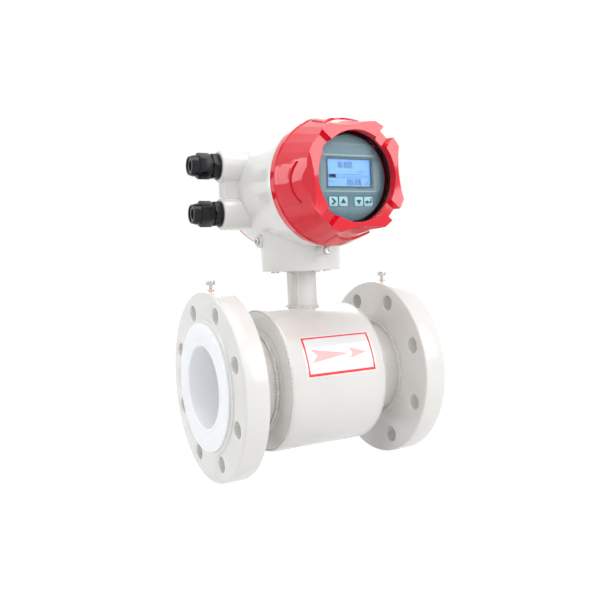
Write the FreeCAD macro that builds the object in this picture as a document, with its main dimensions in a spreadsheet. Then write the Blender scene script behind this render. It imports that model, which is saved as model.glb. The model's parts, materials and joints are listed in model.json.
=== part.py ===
"""Electromagnetic flow meter, DN 100, flanged, with a converter head on a neck.

Millimetres. +X is the flow direction, the display faces -Y and +Z is up. The origin is the middle of
the flow bore, under the neck.
"""
import FreeCAD, Part
import math
import os
from types import SimpleNamespace

import Sketcher

# ---------------------------------------------------------------- driving dimensions

DIMENSIONS = [
    # flow tube, liner and flanges
    ("bore_radius", 47.5, "inside of the liner"),
    ("liner_wall", 5.4, "thickness of the liner in the tube"),
    ("tube_wall", 4.0, "wall of the measuring tube"),
    ("flange_radius", 110.0, "outside of the flanges"),
    ("flange_thickness", 28.0, "flange without its raised face"),
    ("flange_reach", 130.0, "middle of the meter to the bolting face"),
    ("flange_bevel", 1.2, "bevel of the flange rim"),
    ("raised_radius", 79.0, "raised face"),
    ("raised_height", 2.0, "raised face above the bolting face"),
    ("flare_radius", 74.0, "liner where it folds over the raised face"),
    ("flare_thickness", 3.0, "folded rim of the liner"),
    ("mouth_round", 2.4, "rounding of the liner mouth"),
    ("bolt_ring_radius", 90.0, "radius of the bolt circle"),
    ("bolt_hole", 9.0, "radius of a bolt hole"),
    ("bolt_count", 8, "bolt holes in a flange"),
    ("bolt_bevel", 0.9, "bevel at both ends of a bolt hole"),
    ("weld_leg", 4.0, "fillet welds on the measuring tube"),
    # coil housing
    ("shell_radius", 85.4, "outside of the coil housing"),
    ("shell_wall", 3.0, "wall of the coil housing"),
    ("shell_reach", 63.0, "middle of the meter to the end of the housing"),
    ("shell_round", 6.0, "rounded corner of the end plates"),
    # magnet system and electrodes
    ("yoke_gap", 3.8, "housing to the return yoke"),
    ("yoke_wall", 2.0, "thickness of the return yoke"),
    ("yoke_reach", 28.0, "half length of the return yoke"),
    ("pole_thickness", 3.5, "saddle of a pole shoe"),
    ("pole_reach", 26.0, "half length of a pole shoe"),
    ("pole_angle", 36.0, "half angle of a pole saddle"),
    ("core_radius", 11.0, "core that a coil sits on"),
    ("coil_radius", 24.0, "outside of a coil"),
    ("coil_gap", 2.0, "rim of a coil to the return yoke"),
    ("lead_hole", 5.0, "hole for the coil leads in the yoke"),
    ("lead_offset", 20.0, "middle of the yoke to its lead hole"),
    ("electrode_head", 6.0, "radius of an electrode head"),
    ("electrode_head_height", 2.0, "height of an electrode head"),
    ("electrode_stem", 3.0, "radius of an electrode stem"),
    ("electrode_gap", 5.0, "electrode stem to the return yoke"),
    ("bush_wall", 2.0, "insulating bush round an electrode stem"),
    ("bush_length", 10.0, "insulating bush"),
    ("nut_flats", 11.0, "electrode nut across its flats"),
    ("nut_height", 4.5, "electrode nut"),
    # earth terminals on the flanges
    ("earth_pad_radius", 4.2, "brass washer under an earth screw"),
    ("earth_pad_height", 1.6, "brass washer"),
    ("earth_shank", 1.9, "radius of the earth screw shank"),
    ("earth_shank_length", 5.4, "shank that shows above the washer"),
    ("earth_head_radius", 5.2, "earth screw head"),
    ("earth_head_height", 4.8, "earth screw head"),
    ("earth_slot", 1.4, "slot in the earth screw head"),
    ("earth_offset", 119.5, "middle of the meter to an earth screw"),
    # neck
    ("neck_radius", 18.0, "outside of the neck tube"),
    ("neck_wall", 3.0, "wall of the neck tube"),
    ("neck_sink", 2.2, "neck tube inside the coil housing"),
    ("neck_flange_thickness", 8.0, "flange on top of the neck"),
    ("neck_flange_radius", 42.6, "flange on top of the neck"),
    ("head_gasket", 1.5, "gasket between neck flange and head"),
    ("base_ring_radius", 36.0, "radius of the circle of base screws"),
    ("base_screw_radius", 3.0, "shank of a base screw"),
    ("base_screw_head", 5.0, "radius of a base screw head"),
    ("base_screw_head_height", 6.0, "height of a base screw head"),
    ("base_screw_proud", 2.0, "base screw head below the foot"),
    ("base_screw_length", 19.0, "shank of a base screw"),
    ("plug_length", 16.0, "sealing compound in the neck"),
    # converter head
    ("head_height", 228.3, "axis of the head above the flow axis"),
    ("foot_drop", 99.3, "head axis down to the underside of the foot"),
    ("foot_radius", 47.4, "foot at its underside"),
    ("foot_top_radius", 49.6, "foot where it runs into the barrel"),
    ("foot_depth", 54.3, "height of the foot up to its hidden top"),
    ("foot_wall", 4.5, "rim of the foot round the neck flange"),
    ("foot_duct", 24.0, "radius of the hollow in the foot"),
    ("cable_duct", 11.0, "radius of the cable hole into the barrel"),
    ("barrel_radius", 72.4, "outside of the barrel at the front seam"),
    ("barrel_front", 68.6, "head axis to the front seam"),
    ("barrel_rear", 60.0, "head axis to the rear seam"),
    ("barrel_taper", 2.6, "narrowing of the barrel from the front seam to the rear seam"),
    ("spigot_radius", 66.5, "threaded spigot of the front chamber"),
    ("rear_spigot_radius", 61.0, "threaded spigot of the rear chamber"),
    ("spigot_length", 15.0, "threaded spigots"),
    ("chamber_radius", 60.0, "inside of the front chamber"),
    ("rear_chamber_radius", 55.5, "inside of the rear chamber"),
    ("partition_front", -13.0, "front face of the wall between the chambers"),
    ("partition_rear", -20.0, "rear face of the wall between the chambers"),
    ("boss_radius", 19.5, "cable entry bosses"),
    ("boss_reach", 92.0, "head axis to the end of the bosses"),
    ("boss_spacing", 56.2, "upper boss to lower boss"),
    ("boss_setback", 30.0, "head axis to the boss axes, towards the rear"),
    ("boss_round", 3.0, "rounded rim of a boss"),
    ("web_reach", 87.5, "head axis to the edge of the web between the bosses"),
    ("web_thickness", 18.0, "web between the bosses"),
    ("lock_boss_radius", 7.0, "boss of the cover lock screw"),
    ("lock_boss_reach", 63.0, "head axis to the end of the lock boss"),
    ("lock_boss_drop", 76.8, "head axis down to the lock screw"),
    ("earth_boss_radius", 8.0, "boss of the earth screw on the head"),
    ("earth_boss_reach", 51.0, "head axis to the end of the earth boss"),
    ("earth_boss_drop", 62.4, "head axis down to the earth screw"),
    ("earth_boss_setback", 12.4, "head axis to the earth screw, towards the rear"),
    ("screw_radius", 2.5, "shank of the lock and head earth screws"),
    ("screw_depth", 10.0, "depth of the lock and head earth screws"),
    ("screw_head_radius", 4.5, "heads of the lock and head earth screws"),
    ("screw_head_height", 2.6, "heads of the lock and head earth screws"),
    # covers
    ("seam_gap", 0.5, "gap between a cover and the barrel"),
    ("thread_gap", 0.3, "clearance of the cover threads"),
    ("cover_rim", 9.4, "plain rim of the front cover"),
    ("cover_turn", 4.7, "angle of the front cover when it is tight"),
    ("skirt_step", 1.2, "rim down to the skirt corners next to it"),
    ("crown_step", 0.4, "rim down to the middle of a pad next to it"),
    ("skirt_front_radius", 60.3, "skirt corners at the shoulder"),
    ("skirt_front_crown", 58.5, "middle of a pad at the shoulder"),
    ("skirt_length", 48.0, "skirt of the front cover"),
    ("strip_rear_angle", 6.0, "half angle of a notch strip next to the rim"),
    ("strip_front_angle", 5.2, "half angle of a notch strip at the shoulder"),
    ("facet_angle", 16.0, "outer edge of the side facets"),
    ("pad_rear_start", 18.5, "notch middle to the near edge of a pad, next to the rim"),
    ("pad_rear_end", 26.0, "notch middle to the far edge of a pad, next to the rim"),
    ("pad_front_angle", 22.5, "notch middle to both edges of a pad, at the shoulder"),
    ("lobe_height", 6.7, "lobes above the shoulder"),
    ("lobe_flare", 3.3, "lobe corners on their face, beyond the skirt corners at the shoulder"),
    ("lobe_notch_angle", 7.5, "half angle of a notch on the front face"),
    ("lobe_tip_angle", 18.0, "notch middle to the tip of a scallop"),
    ("scallop_radius", 53.4, "middle of a scallop on the front face"),
    ("scallop_depth", 13.7, "scallop from the front face back to the deepest point of its edge"),
    ("scallop_end_radius", 60.3, "middle of a scallop at that depth"),
    ("window_radius", 48.5, "opening in the front cover"),
    ("lip_depth", 10.0, "front face to the glass gasket"),
    ("glass_radius", 56.0, "window glass"),
    ("glass_thickness", 5.0, "window glass"),
    ("glass_gasket", 1.4, "gasket in front of the glass"),
    ("glass_gasket_inner", 48.9, "inside of the glass gasket"),
    ("retainer_inner", 51.2, "inside of the ring behind the glass"),
    ("retainer_thickness", 4.0, "ring behind the glass"),
    ("cover_seal", 2.0, "flat ring between a spigot and its cover"),
    ("rear_rim", 3.0, "plain rim of the rear cover"),
    ("rear_skirt_length", 21.4, "skirt of the rear cover"),
    ("rear_skirt_radius", 60.5, "skirt corners at the shoulder of the rear cover"),
    ("rear_skirt_crown", 60.0, "middle of a pad at the shoulder of the rear cover"),
    ("rear_wall", 5.0, "end wall of the rear cover"),
    ("rear_disc", 3.6, "disc inside the lobes of the rear cover"),
    # display module and boards
    ("panel_radius", 46.2, "display panel"),
    ("panel_thickness", 2.4, "display panel"),
    ("panel_setback", 1.2, "display panel behind the glass"),
    ("can_wall", 2.0, "wall of the display housing"),
    ("can_length", 40.0, "display housing"),
    ("lcd_width", 55.0, "window in the panel"),
    ("lcd_height", 29.0, "window in the panel"),
    ("lcd_centre_x", 0.8, "middle of the window, sideways"),
    ("lcd_centre_z", 5.6, "middle of the window, upwards"),
    ("lcd_border", 3.0, "display module beyond its window"),
    ("lcd_thickness", 6.0, "display module"),
    ("key_width", 10.8, "key"),
    ("key_height", 10.4, "key"),
    ("key_round", 2.0, "rounded corners of a key"),
    ("key_inner_x", 9.9, "middle to the inner keys"),
    ("key_outer_x", 22.4, "middle to the outer keys"),
    ("key_drop", 25.4, "middle down to the keys"),
    ("key_proud", 0.8, "key above the panel"),
    ("key_gap", 0.3, "clearance round a key"),
    ("key_travel", 0.6, "stroke of a key"),
    ("board_thickness", 1.6, "circuit boards"),
    ("board_radius", 47.0, "circuit boards in the front chamber"),
    ("main_board_height", 6.0, "head axis to the main board"),
    ("power_board_height", 34.0, "head axis to the power board"),
    ("pillar_radius", 3.0, "pillars that carry the boards"),
    ("pillar_ring_radius", 40.0, "radius of the circle of pillars"),
    ("terminal_length", 80.0, "terminal block"),
    ("terminal_width", 16.0, "terminal block"),
    ("terminal_depth", 14.0, "terminal block"),
    ("terminal_count", 8, "screws in the terminal block"),
    ("terminal_screw_height", 3.0, "head of a terminal screw"),
    ("terminal_drop", 18.0, "head axis down to the terminal block"),
    # cable glands
    ("gland_washer", 1.5, "washer between boss and gland"),
    ("gland_collar_radius", 15.6, "round collar of a gland body"),
    ("gland_collar", 8.0, "length of the collar"),
    ("gland_thread", 10.0, "radius of the thread in the boss"),
    ("gland_thread_length", 12.0, "thread in the boss"),
    ("gland_bore", 7.6, "bore of a gland body"),
    ("gland_spigot", 11.4, "radius of the spigot under the nut"),
    ("gland_spigot_length", 12.0, "spigot under the nut"),
    ("gland_flats", 27.4, "gland nut across its flats"),
    ("gland_hexagon", 16.6, "hexagon of a gland nut"),
    ("gland_dome_radius", 12.4, "dome of a gland nut"),
    ("gland_dome", 9.4, "dome of a gland nut"),
    ("gland_mouth", 8.6, "opening of a gland nut"),
    ("gland_gap", 0.3, "clearance inside and under a gland nut"),
    ("seal_bore", 6.2, "opening of the rubber insert"),
    # fits
    ("fit", 0.1, "clearance of welded, pressed and clamped fits"),
]


class Size:
    """A number together with the sheet expression that gives it, so a formula is written once."""

    def __init__(self, value, text):
        self.value = float(value)
        self.text = text

    @staticmethod
    def of(other):
        if isinstance(other, Size):
            return other
        return Size(other, "(" + repr(float(other)) + ")")

    def _join(self, other, sign, value):
        return Size(value, "(" + self.text + " " + sign + " " + Size.of(other).text + ")")

    def __add__(self, other):
        return self._join(other, "+", self.value + Size.of(other).value)

    def __sub__(self, other):
        return self._join(other, "-", self.value - Size.of(other).value)

    def __mul__(self, other):
        return self._join(other, "*", self.value * Size.of(other).value)

    def __truediv__(self, other):
        return self._join(other, "/", self.value / Size.of(other).value)

    def __radd__(self, other):
        return Size.of(other) + self

    def __rsub__(self, other):
        return Size.of(other) - self

    def __rmul__(self, other):
        return Size.of(other) * self

    def __neg__(self):
        return 0 - self


def root(size):
    """Square root of a size."""
    return Size(math.sqrt(size.value), "sqrt(" + size.text + ")")


def polar(radius, angle):
    """Point at a radius and an angle in degrees."""
    radius, angle = Size.of(radius), Size.of(angle)
    turn = math.radians(angle.value)
    across = Size(math.cos(turn), "cos(" + angle.text + " * 1deg)")
    up = Size(math.sin(turn), "sin(" + angle.text + " * 1deg)")
    return radius * across, radius * up


document = FreeCAD.newDocument("FlowMeter")
sheet = document.addObject("Spreadsheet::Sheet", "Sizes")
S = SimpleNamespace()
for row, (alias, number, note) in enumerate(DIMENSIONS, start=1):
    sheet.set("A" + str(row), note)
    sheet.set("B" + str(row), str(number))
    sheet.setAlias("B" + str(row), alias)
    setattr(S, alias, Size(number, "Sizes." + alias))
document.recompute()

VECTOR = FreeCAD.Vector
UPRIGHT = FreeCAD.Rotation()
UPSIDE_DOWN = FreeCAD.Rotation(VECTOR(1, 0, 0), 180)
DOWNSTREAM = FreeCAD.Rotation(VECTOR(0, 1, 0), 90)
UPSTREAM = FreeCAD.Rotation(VECTOR(0, 1, 0), -90)
FORWARD = FreeCAD.Rotation(VECTOR(1, 0, 0), 90)
BACKWARD = FreeCAD.Rotation(VECTOR(1, 0, 0), -90)
QUARTER = 90.0
EIGHTH = 45.0

PARTS = []


# ---------------------------------------------------------------- sketch and feature helpers

def new_body(label):
    """A body whose label names its file."""
    item = document.addObject("PartDesign::Body", label)
    item.Label = label
    return item


def keep(item, label=None):
    """Hand an object in as a piece of its own."""
    if label:
        item.Label = label
    PARTS.append(item)
    return item


def place(item, x=0, y=0, z=0, rotation=UPRIGHT):
    """Put an object at a place given by sizes, turned by a fixed rotation."""
    x, y, z = Size.of(x), Size.of(y), Size.of(z)
    item.Placement = FreeCAD.Placement(VECTOR(x.value, y.value, z.value), rotation)
    item.setExpression(".Placement.Base.x", x.text)
    item.setExpression(".Placement.Base.y", y.text)
    item.setExpression(".Placement.Base.z", z.text)
    return item


def plane_of(item, role):
    """One of the three origin planes of a body."""
    return [part for part in item.Origin.OriginFeatures if part.Role == role][0]


def new_sketch(item, role, name, height=0):
    """A sketch on an origin plane of its own body, lifted along the plane's normal."""
    sketch = item.newObject("Sketcher::SketchObject", item.Name + "_" + name)
    sketch.AttachmentSupport = [(plane_of(item, role), "")]
    sketch.MapMode = "FlatFace"
    height = Size.of(height)
    sketch.AttachmentOffset = FreeCAD.Placement(VECTOR(0, 0, height.value), UPRIGHT)
    sketch.setExpression(".AttachmentOffset.Base.z", height.text)
    return sketch


def pin(sketch, element, end, x, y):
    """Fix one end of a sketch element by its two distances from the sketch origin."""
    for kind, size in (("DistanceX", Size.of(x)), ("DistanceY", Size.of(y))):
        index = sketch.addConstraint(Sketcher.Constraint(kind, -1, 1, element, end, size.value))
        sketch.setExpression("Constraints[" + str(index) + "]", size.text)


def side(start, end, bend):
    """A straight or bent side of an outline. A bend is a radius, negative when it turns clockwise."""
    first = VECTOR(Size.of(start[0]).value, Size.of(start[1]).value, 0)
    last = VECTOR(Size.of(end[0]).value, Size.of(end[1]).value, 0)
    if bend is None:
        return Part.LineSegment(first, last)
    chord = last - first
    radius = abs(bend.value)
    rise = math.sqrt(max(radius ** 2 - (chord.Length / 2) ** 2, 0.0))
    left = VECTOR(-chord.y, chord.x, 0) * (1 / chord.Length)
    centre = (first + last) * 0.5 + left * math.copysign(rise, bend.value)
    begin, finish = (first, last) if bend.value > 0 else (last, first)
    low = math.atan2(begin.y - centre.y, begin.x - centre.x)
    high = math.atan2(finish.y - centre.y, finish.x - centre.x)
    if high < low:
        high += 2 * math.pi
    return Part.ArcOfCircle(Part.Circle(centre, VECTOR(0, 0, 1), radius), low, high)


def outline(sketch, points):
    """A closed outline. A point is (x, y), or (x, y, bend) when an arc leads to it."""
    count = len(points)
    firsts = []
    for index in range(count):
        start, end = points[index], points[(index + 1) % count]
        bend = end[2] if len(end) > 2 else None
        element = sketch.addGeometry(side(start, end, bend), False)
        clockwise = bend is not None and bend.value < 0
        firsts.append((element, 2 if clockwise else 1, 1 if clockwise else 2, bend))
    for index in range(count):
        element, begin, finish, bend = firsts[index]
        following, next_begin = firsts[(index + 1) % count][:2]
        sketch.addConstraint(Sketcher.Constraint("Coincident", element, finish, following, next_begin))
        pin(sketch, element, begin, points[index][0], points[index][1])
        if bend is not None:
            radius = bend if bend.value > 0 else -bend
            number = sketch.addConstraint(Sketcher.Constraint("Radius", element, radius.value))
            sketch.setExpression("Constraints[" + str(number) + "]", radius.text)
    return sketch


def circle(sketch, x, y, radius):
    """A circle at a place in a sketch."""
    x, y, radius = Size.of(x), Size.of(y), Size.of(radius)
    ring = Part.Circle(VECTOR(x.value, y.value, 0), VECTOR(0, 0, 1), radius.value)
    element = sketch.addGeometry(ring, False)
    pin(sketch, element, 3, x, y)
    number = sketch.addConstraint(Sketcher.Constraint("Radius", element, radius.value))
    sketch.setExpression("Constraints[" + str(number) + "]", radius.text)
    return sketch


def rectangle(sketch, x, y, width, height):
    """A rectangle about its middle."""
    left, right = x - width / 2, x + width / 2
    low, high = y - height / 2, y + height / 2
    return outline(sketch, [(left, low), (right, low), (right, high), (left, high)])


def rounded_rectangle(sketch, x, y, width, height, corner):
    """A rectangle about its middle with rounded corners."""
    left, right = x - width / 2, x + width / 2
    low, high = y - height / 2, y + height / 2
    return outline(sketch, [
        (left + corner, low, corner), (right - corner, low),
        (right, low + corner, corner), (right, high - corner),
        (right - corner, high, corner), (left + corner, high),
        (left, high - corner, corner), (left, low + corner),
    ])


def hexagon(sketch, flats):
    """A hexagon about the sketch origin, by its width across the flats."""
    corner = flats / math.sqrt(3)
    return outline(sketch, [polar(corner, angle) for angle in range(0, 360, 60)])


def spin(item, sketch, axis="V_Axis", cut=False):
    """Turn an outline once round an axis of its sketch, as material or as a cut."""
    kind = "PartDesign::Groove" if cut else "PartDesign::Revolution"
    feature = item.newObject(kind, sketch.Name + "_spin")
    feature.Profile = sketch
    feature.ReferenceAxis = (sketch, [axis])
    feature.Angle = 360
    return feature


def pad(item, sketch, length, backwards=False, both_ways=False):
    """Raise a sketch into material."""
    feature = item.newObject("PartDesign::Pad", sketch.Name + "_pad")
    feature.Profile = sketch
    feature.setExpression("Length", Size.of(length).text)
    feature.Reversed = backwards
    feature.Midplane = both_ways
    return feature


def pocket(item, sketch, length, forwards=False, both_ways=False):
    """Cut a sketch out of a body, against the plane's normal unless it goes forwards."""
    feature = item.newObject("PartDesign::Pocket", sketch.Name + "_pocket")
    feature.Profile = sketch
    feature.setExpression("Length", Size.of(length).text)
    feature.Reversed = forwards
    feature.Midplane = both_ways
    return feature


def repeat(item, feature, sketch, count, axis="N_Axis"):
    """Repeat a feature round an axis of a sketch."""
    pattern = item.newObject("PartDesign::PolarPattern", feature.Name + "_ring")
    pattern.Originals = [feature]
    pattern.Axis = (sketch, [axis])
    pattern.Angle = 360
    pattern.setExpression("Occurrences", Size.of(count).text)
    item.Tip = pattern
    return pattern


def loft(item, sketches):
    """Join two outlines by straight rulings."""
    feature = item.newObject("PartDesign::AdditiveLoft", sketches[0].Name + "_loft")
    feature.Profile = sketches[0]
    feature.Sections = sketches[1:]
    feature.Ruled = True
    return feature


def turned(label, points):
    """A piece turned about its own Z axis from an outline of (radius, height) points."""
    item = new_body(label)
    spin(item, outline(new_sketch(item, "XZ_Plane", "section"), points))
    return item


def ring(label, inner, outer, low, high):
    """A plain turned ring."""
    return turned(label, [(inner, low), (outer, low), (outer, high), (inner, high)])


def disc(label, radius, low, high):
    """A plain turned disc."""
    return ring(label, 0, radius, low, high)


def group(label, items):
    """Like pieces that share one node, as separate solids."""
    bundle = document.addObject("Part::Compound", label)
    bundle.Links = items
    return keep(bundle, label)


def middle_line(sketch, start, end):
    """A construction line to turn an outline about. Returns the name that a feature knows it by."""
    (start_x, start_y), (end_x, end_y) = [[Size.of(size) for size in point] for point in (start, end)]
    line = Part.LineSegment(VECTOR(start_x.value, start_y.value, 0), VECTOR(end_x.value, end_y.value, 0))
    element = sketch.addGeometry(line, True)
    pin(sketch, element, 1, start_x, start_y)
    pin(sketch, element, 2, end_x, end_y)
    return "Axis0"


def stepped_hole(item, name, circle_radius, steps, count):
    """A ring of holes along Z, each turned from its own (radius, height) steps."""
    sketch = new_sketch(item, "XZ_Plane", name)
    points = [(circle_radius, steps[0][1])]
    points += [(circle_radius + radius, height) for radius, height in steps]
    points += [(circle_radius, steps[-1][1])]
    outline(sketch, points)
    axis = middle_line(sketch, points[0], points[-1])
    hole = spin(item, sketch, axis, cut=True)
    ring_sketch = new_sketch(item, "XY_Plane", name + "_axis")
    return repeat(item, hole, ring_sketch, count)


# ---------------------------------------------------------------- measuring tube, liner and flanges

tube_inner = S.bore_radius + S.liner_wall + S.fit
tube_outer = tube_inner + S.tube_wall
seal_face = S.flange_reach + S.raised_height
electrode_back = S.bore_radius + S.fit + S.electrode_head_height

measuring_tube = ring("measuring_tube", tube_inner, tube_outer, -seal_face, seal_face)
electrode_hole = circle(new_sketch(measuring_tube, "XZ_Plane", "electrodes"), 0, 0,
                        S.electrode_stem + S.bush_wall + S.fit)
pocket(measuring_tube, electrode_hole, tube_outer * 3, both_ways=True)
keep(place(measuring_tube, rotation=DOWNSTREAM))

# The liner is a tube with rounded mouths. Its rims, folded over the raised faces, are two collars.
liner_outer = S.bore_radius + S.liner_wall
liner_end = seal_face + S.flare_thickness
liner = turned("liner", [
    (S.bore_radius, -(liner_end - S.mouth_round)),
    (S.bore_radius + S.mouth_round, -liner_end, S.mouth_round),
    (liner_outer, -liner_end),
    (liner_outer, liner_end),
    (S.bore_radius + S.mouth_round, liner_end),
    (S.bore_radius, liner_end - S.mouth_round, S.mouth_round),
])
stem_hole = circle(new_sketch(liner, "XZ_Plane", "stems"), 0, 0, S.electrode_stem + S.fit)
pocket(liner, stem_hole, liner_outer * 3, both_ways=True)
head_hole = circle(new_sketch(liner, "XZ_Plane", "heads"), 0, 0, S.electrode_head + S.fit)
pocket(liner, head_hole, electrode_back * 2, both_ways=True)
keep(place(liner, rotation=DOWNSTREAM))
for label, rotation in (("inlet_liner_rim", UPSTREAM), ("outlet_liner_rim", DOWNSTREAM)):
    collar = ring(label, liner_outer + S.fit, S.flare_radius, seal_face, liner_end)
    keep(place(collar, rotation=rotation))


def flange(label, rotation):
    """A slip-on flange with a raised face, bevelled bolt holes and its fillet weld."""
    bore = tube_outer + S.fit
    back = S.flange_reach - S.flange_thickness
    rim = S.flange_radius
    item = turned(label, [
        (bore, back - S.weld_leg),
        (bore + S.weld_leg, back),
        (rim - S.flange_bevel, back),
        (rim, back + S.flange_bevel),
        (rim, S.flange_reach - S.flange_bevel),
        (rim - S.flange_bevel, S.flange_reach),
        (S.raised_radius, S.flange_reach),
        (S.raised_radius, seal_face),
        (bore, seal_face),
    ])
    stepped_hole(item, "bolt_hole", S.bolt_ring_radius, [
        (S.bolt_hole + S.bolt_bevel, back),
        (S.bolt_hole, back + S.bolt_bevel),
        (S.bolt_hole, S.flange_reach - S.bolt_bevel),
        (S.bolt_hole + S.bolt_bevel, S.flange_reach),
    ], S.bolt_count)
    half_step = FreeCAD.Rotation(VECTOR(0, 0, 1), 180.0 / S.bolt_count.value)
    return keep(place(item, rotation=rotation.multiply(half_step)))


flange("inlet_flange", UPSTREAM)
flange("outlet_flange", DOWNSTREAM)

# ---------------------------------------------------------------- coil housing

shell_inner = S.shell_radius - S.shell_wall
shell_end = S.shell_reach - S.shell_round

housing_shell = ring("housing_shell", shell_inner, S.shell_radius, -shell_end, shell_end)
neck_hole = circle(new_sketch(housing_shell, "YZ_Plane", "neck"), 0, 0, S.neck_radius + S.fit)
pocket(housing_shell, neck_hole, S.shell_radius * 1.5)
keep(place(housing_shell, rotation=DOWNSTREAM))


def end_plate(label, rotation):
    """A pressed plate with a rounded rim that closes the housing round the measuring tube."""
    bore = tube_outer + S.fit
    inner_face = S.shell_reach - S.shell_wall
    item = turned(label, [
        (bore, inner_face),
        (S.shell_radius - S.shell_round, inner_face),
        (shell_inner, shell_end, -(S.shell_round - S.shell_wall)),
        (S.shell_radius, shell_end),
        (S.shell_radius - S.shell_round, S.shell_reach, S.shell_round),
        (bore + S.weld_leg, S.shell_reach),
        (bore, S.shell_reach + S.weld_leg),
    ])
    return keep(place(item, rotation=rotation))


end_plate("inlet_end_plate", UPSTREAM)
end_plate("outlet_end_plate", DOWNSTREAM)

# ---------------------------------------------------------------- magnet system and electrodes

yoke_outer = shell_inner - S.yoke_gap
yoke_inner = yoke_outer - S.yoke_wall
saddle_inner = tube_outer + S.fit
saddle_outer = saddle_inner + S.pole_thickness
core_top = root(yoke_inner * yoke_inner - S.core_radius * S.core_radius) - S.fit
coil_low = saddle_outer + S.fit
coil_high = root(yoke_inner * yoke_inner - S.coil_radius * S.coil_radius) - S.coil_gap

return_yoke = ring("return_yoke", yoke_inner, yoke_outer, -S.yoke_reach, S.yoke_reach)
lead_slot = circle(new_sketch(return_yoke, "YZ_Plane", "leads"), 0, S.lead_offset, S.lead_hole)
pocket(return_yoke, lead_slot, yoke_outer * 1.5)
keep(place(return_yoke, rotation=DOWNSTREAM))


def magnet(side_name, rotation):
    """A pole shoe, with its core, and the coil that sits on it."""
    shoe = new_body(side_name + "_pole_shoe")
    low, high = QUARTER - S.pole_angle, QUARTER + S.pole_angle
    saddle = outline(new_sketch(shoe, "YZ_Plane", "saddle"), [
        (*polar(saddle_inner, high), ),
        (*polar(saddle_inner, low), -saddle_inner),
        (*polar(saddle_outer, low), ),
        (*polar(saddle_outer, high), saddle_outer),
    ])
    pad(shoe, saddle, S.pole_reach * 2, both_ways=True)
    core_start = (saddle_inner + saddle_outer) / 2
    core = circle(new_sketch(shoe, "XY_Plane", "core", core_start), 0, 0, S.core_radius)
    pad(shoe, core, core_top - core_start)
    keep(place(shoe, rotation=rotation))
    coil = ring(side_name + "_coil", S.core_radius + S.fit, S.coil_radius, coil_low, coil_high)
    keep(place(coil, rotation=rotation))


magnet("upper", UPRIGHT)
magnet("lower", UPSIDE_DOWN)


def electrode(label, rotation):
    """A signal electrode: a flat head flush in the liner and a stem through the tube."""
    face = S.bore_radius + S.fit
    item = turned(label, [
        (0, face),
        (S.electrode_head, face),
        (S.electrode_head, electrode_back - S.fit),
        (S.electrode_stem, electrode_back - S.fit),
        (S.electrode_stem, yoke_inner - S.electrode_gap),
        (0, yoke_inner - S.electrode_gap),
    ])
    return keep(place(item, rotation=rotation))


electrode("front_electrode", FORWARD)
electrode("rear_electrode", BACKWARD)

bush_start = tube_inner + S.fit
bush_end = bush_start + S.bush_length
bush_inner = S.electrode_stem + S.fit
group("electrode_bushes", [
    place(ring(name, bush_inner, bush_inner + S.bush_wall - S.fit, bush_start, bush_end), rotation=rotation)
    for name, rotation in (("front_bush", FORWARD), ("rear_bush", BACKWARD))
])


def electrode_nut(label, rotation):
    """A hexagon nut that pulls the electrode against the liner."""
    item = new_body(label)
    pad(item, hexagon(new_sketch(item, "XY_Plane", "hexagon", bush_end), S.nut_flats), S.nut_height)
    hole = circle(new_sketch(item, "XY_Plane", "hole", bush_end + S.nut_height), 0, 0, bush_inner)
    pocket(item, hole, S.nut_height)
    return place(item, rotation=rotation)


group("electrode_nuts", [electrode_nut("front_nut", FORWARD), electrode_nut("rear_nut", BACKWARD)])

# ---------------------------------------------------------------- earth terminals on the flanges


def earth_terminal(side_name, direction):
    """A brass washer and a slotted screw that stand on the rim of a flange."""
    washer = ring(side_name + "_earth_washer", S.earth_shank + S.fit, S.earth_pad_radius, 0,
                  S.earth_pad_height)
    screw = turned(side_name + "_earth_screw", [
        (0, 0),
        (S.earth_shank, 0),
        (S.earth_shank, S.earth_pad_height + S.earth_shank_length),
        (S.earth_head_radius, S.earth_pad_height + S.earth_shank_length),
        (S.earth_head_radius, S.earth_pad_height + S.earth_shank_length + S.earth_head_height),
        (0, S.earth_pad_height + S.earth_shank_length + S.earth_head_height),
    ])
    top = S.earth_pad_height + S.earth_shank_length + S.earth_head_height
    slot = new_sketch(screw, "XY_Plane", "slot", top)
    pocket(screw, rectangle(slot, 0, 0, S.earth_head_radius * 3, S.earth_slot), S.earth_head_height / 3)
    seat = S.flange_radius + S.fit
    for item in (washer, screw):
        keep(place(item, x=direction * S.earth_offset, z=seat))


earth_terminal("inlet", -1)
earth_terminal("outlet", 1)

# ---------------------------------------------------------------- neck

neck_inner = S.neck_radius - S.neck_wall
foot_height = S.head_height - S.foot_drop
neck_flange_low = foot_height + S.fit
neck_flange_high = neck_flange_low + S.neck_flange_thickness
head_seat = neck_flange_high + S.head_gasket

keep(ring("neck_tube", neck_inner, S.neck_radius, shell_inner - S.neck_sink, neck_flange_high))

counterbore = foot_height - S.base_screw_proud + S.base_screw_head_height
neck_flange = ring("neck_flange", S.neck_radius + S.fit, S.neck_flange_radius, neck_flange_low,
                   neck_flange_high)
stepped_hole(neck_flange, "base_hole", S.base_ring_radius, [
    (S.base_screw_head + S.thread_gap, neck_flange_low),
    (S.base_screw_head + S.thread_gap, counterbore),
    (S.base_screw_radius + S.thread_gap, counterbore),
    (S.base_screw_radius + S.thread_gap, neck_flange_high),
], 4)
keep(neck_flange)

head_gasket = ring("head_gasket", S.neck_radius + S.fit, S.neck_flange_radius, neck_flange_high, head_seat)
stepped_hole(head_gasket, "base_hole", S.base_ring_radius, [
    (S.base_screw_radius + S.thread_gap, neck_flange_high),
    (S.base_screw_radius + S.thread_gap, head_seat),
], 4)
keep(head_gasket)


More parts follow.
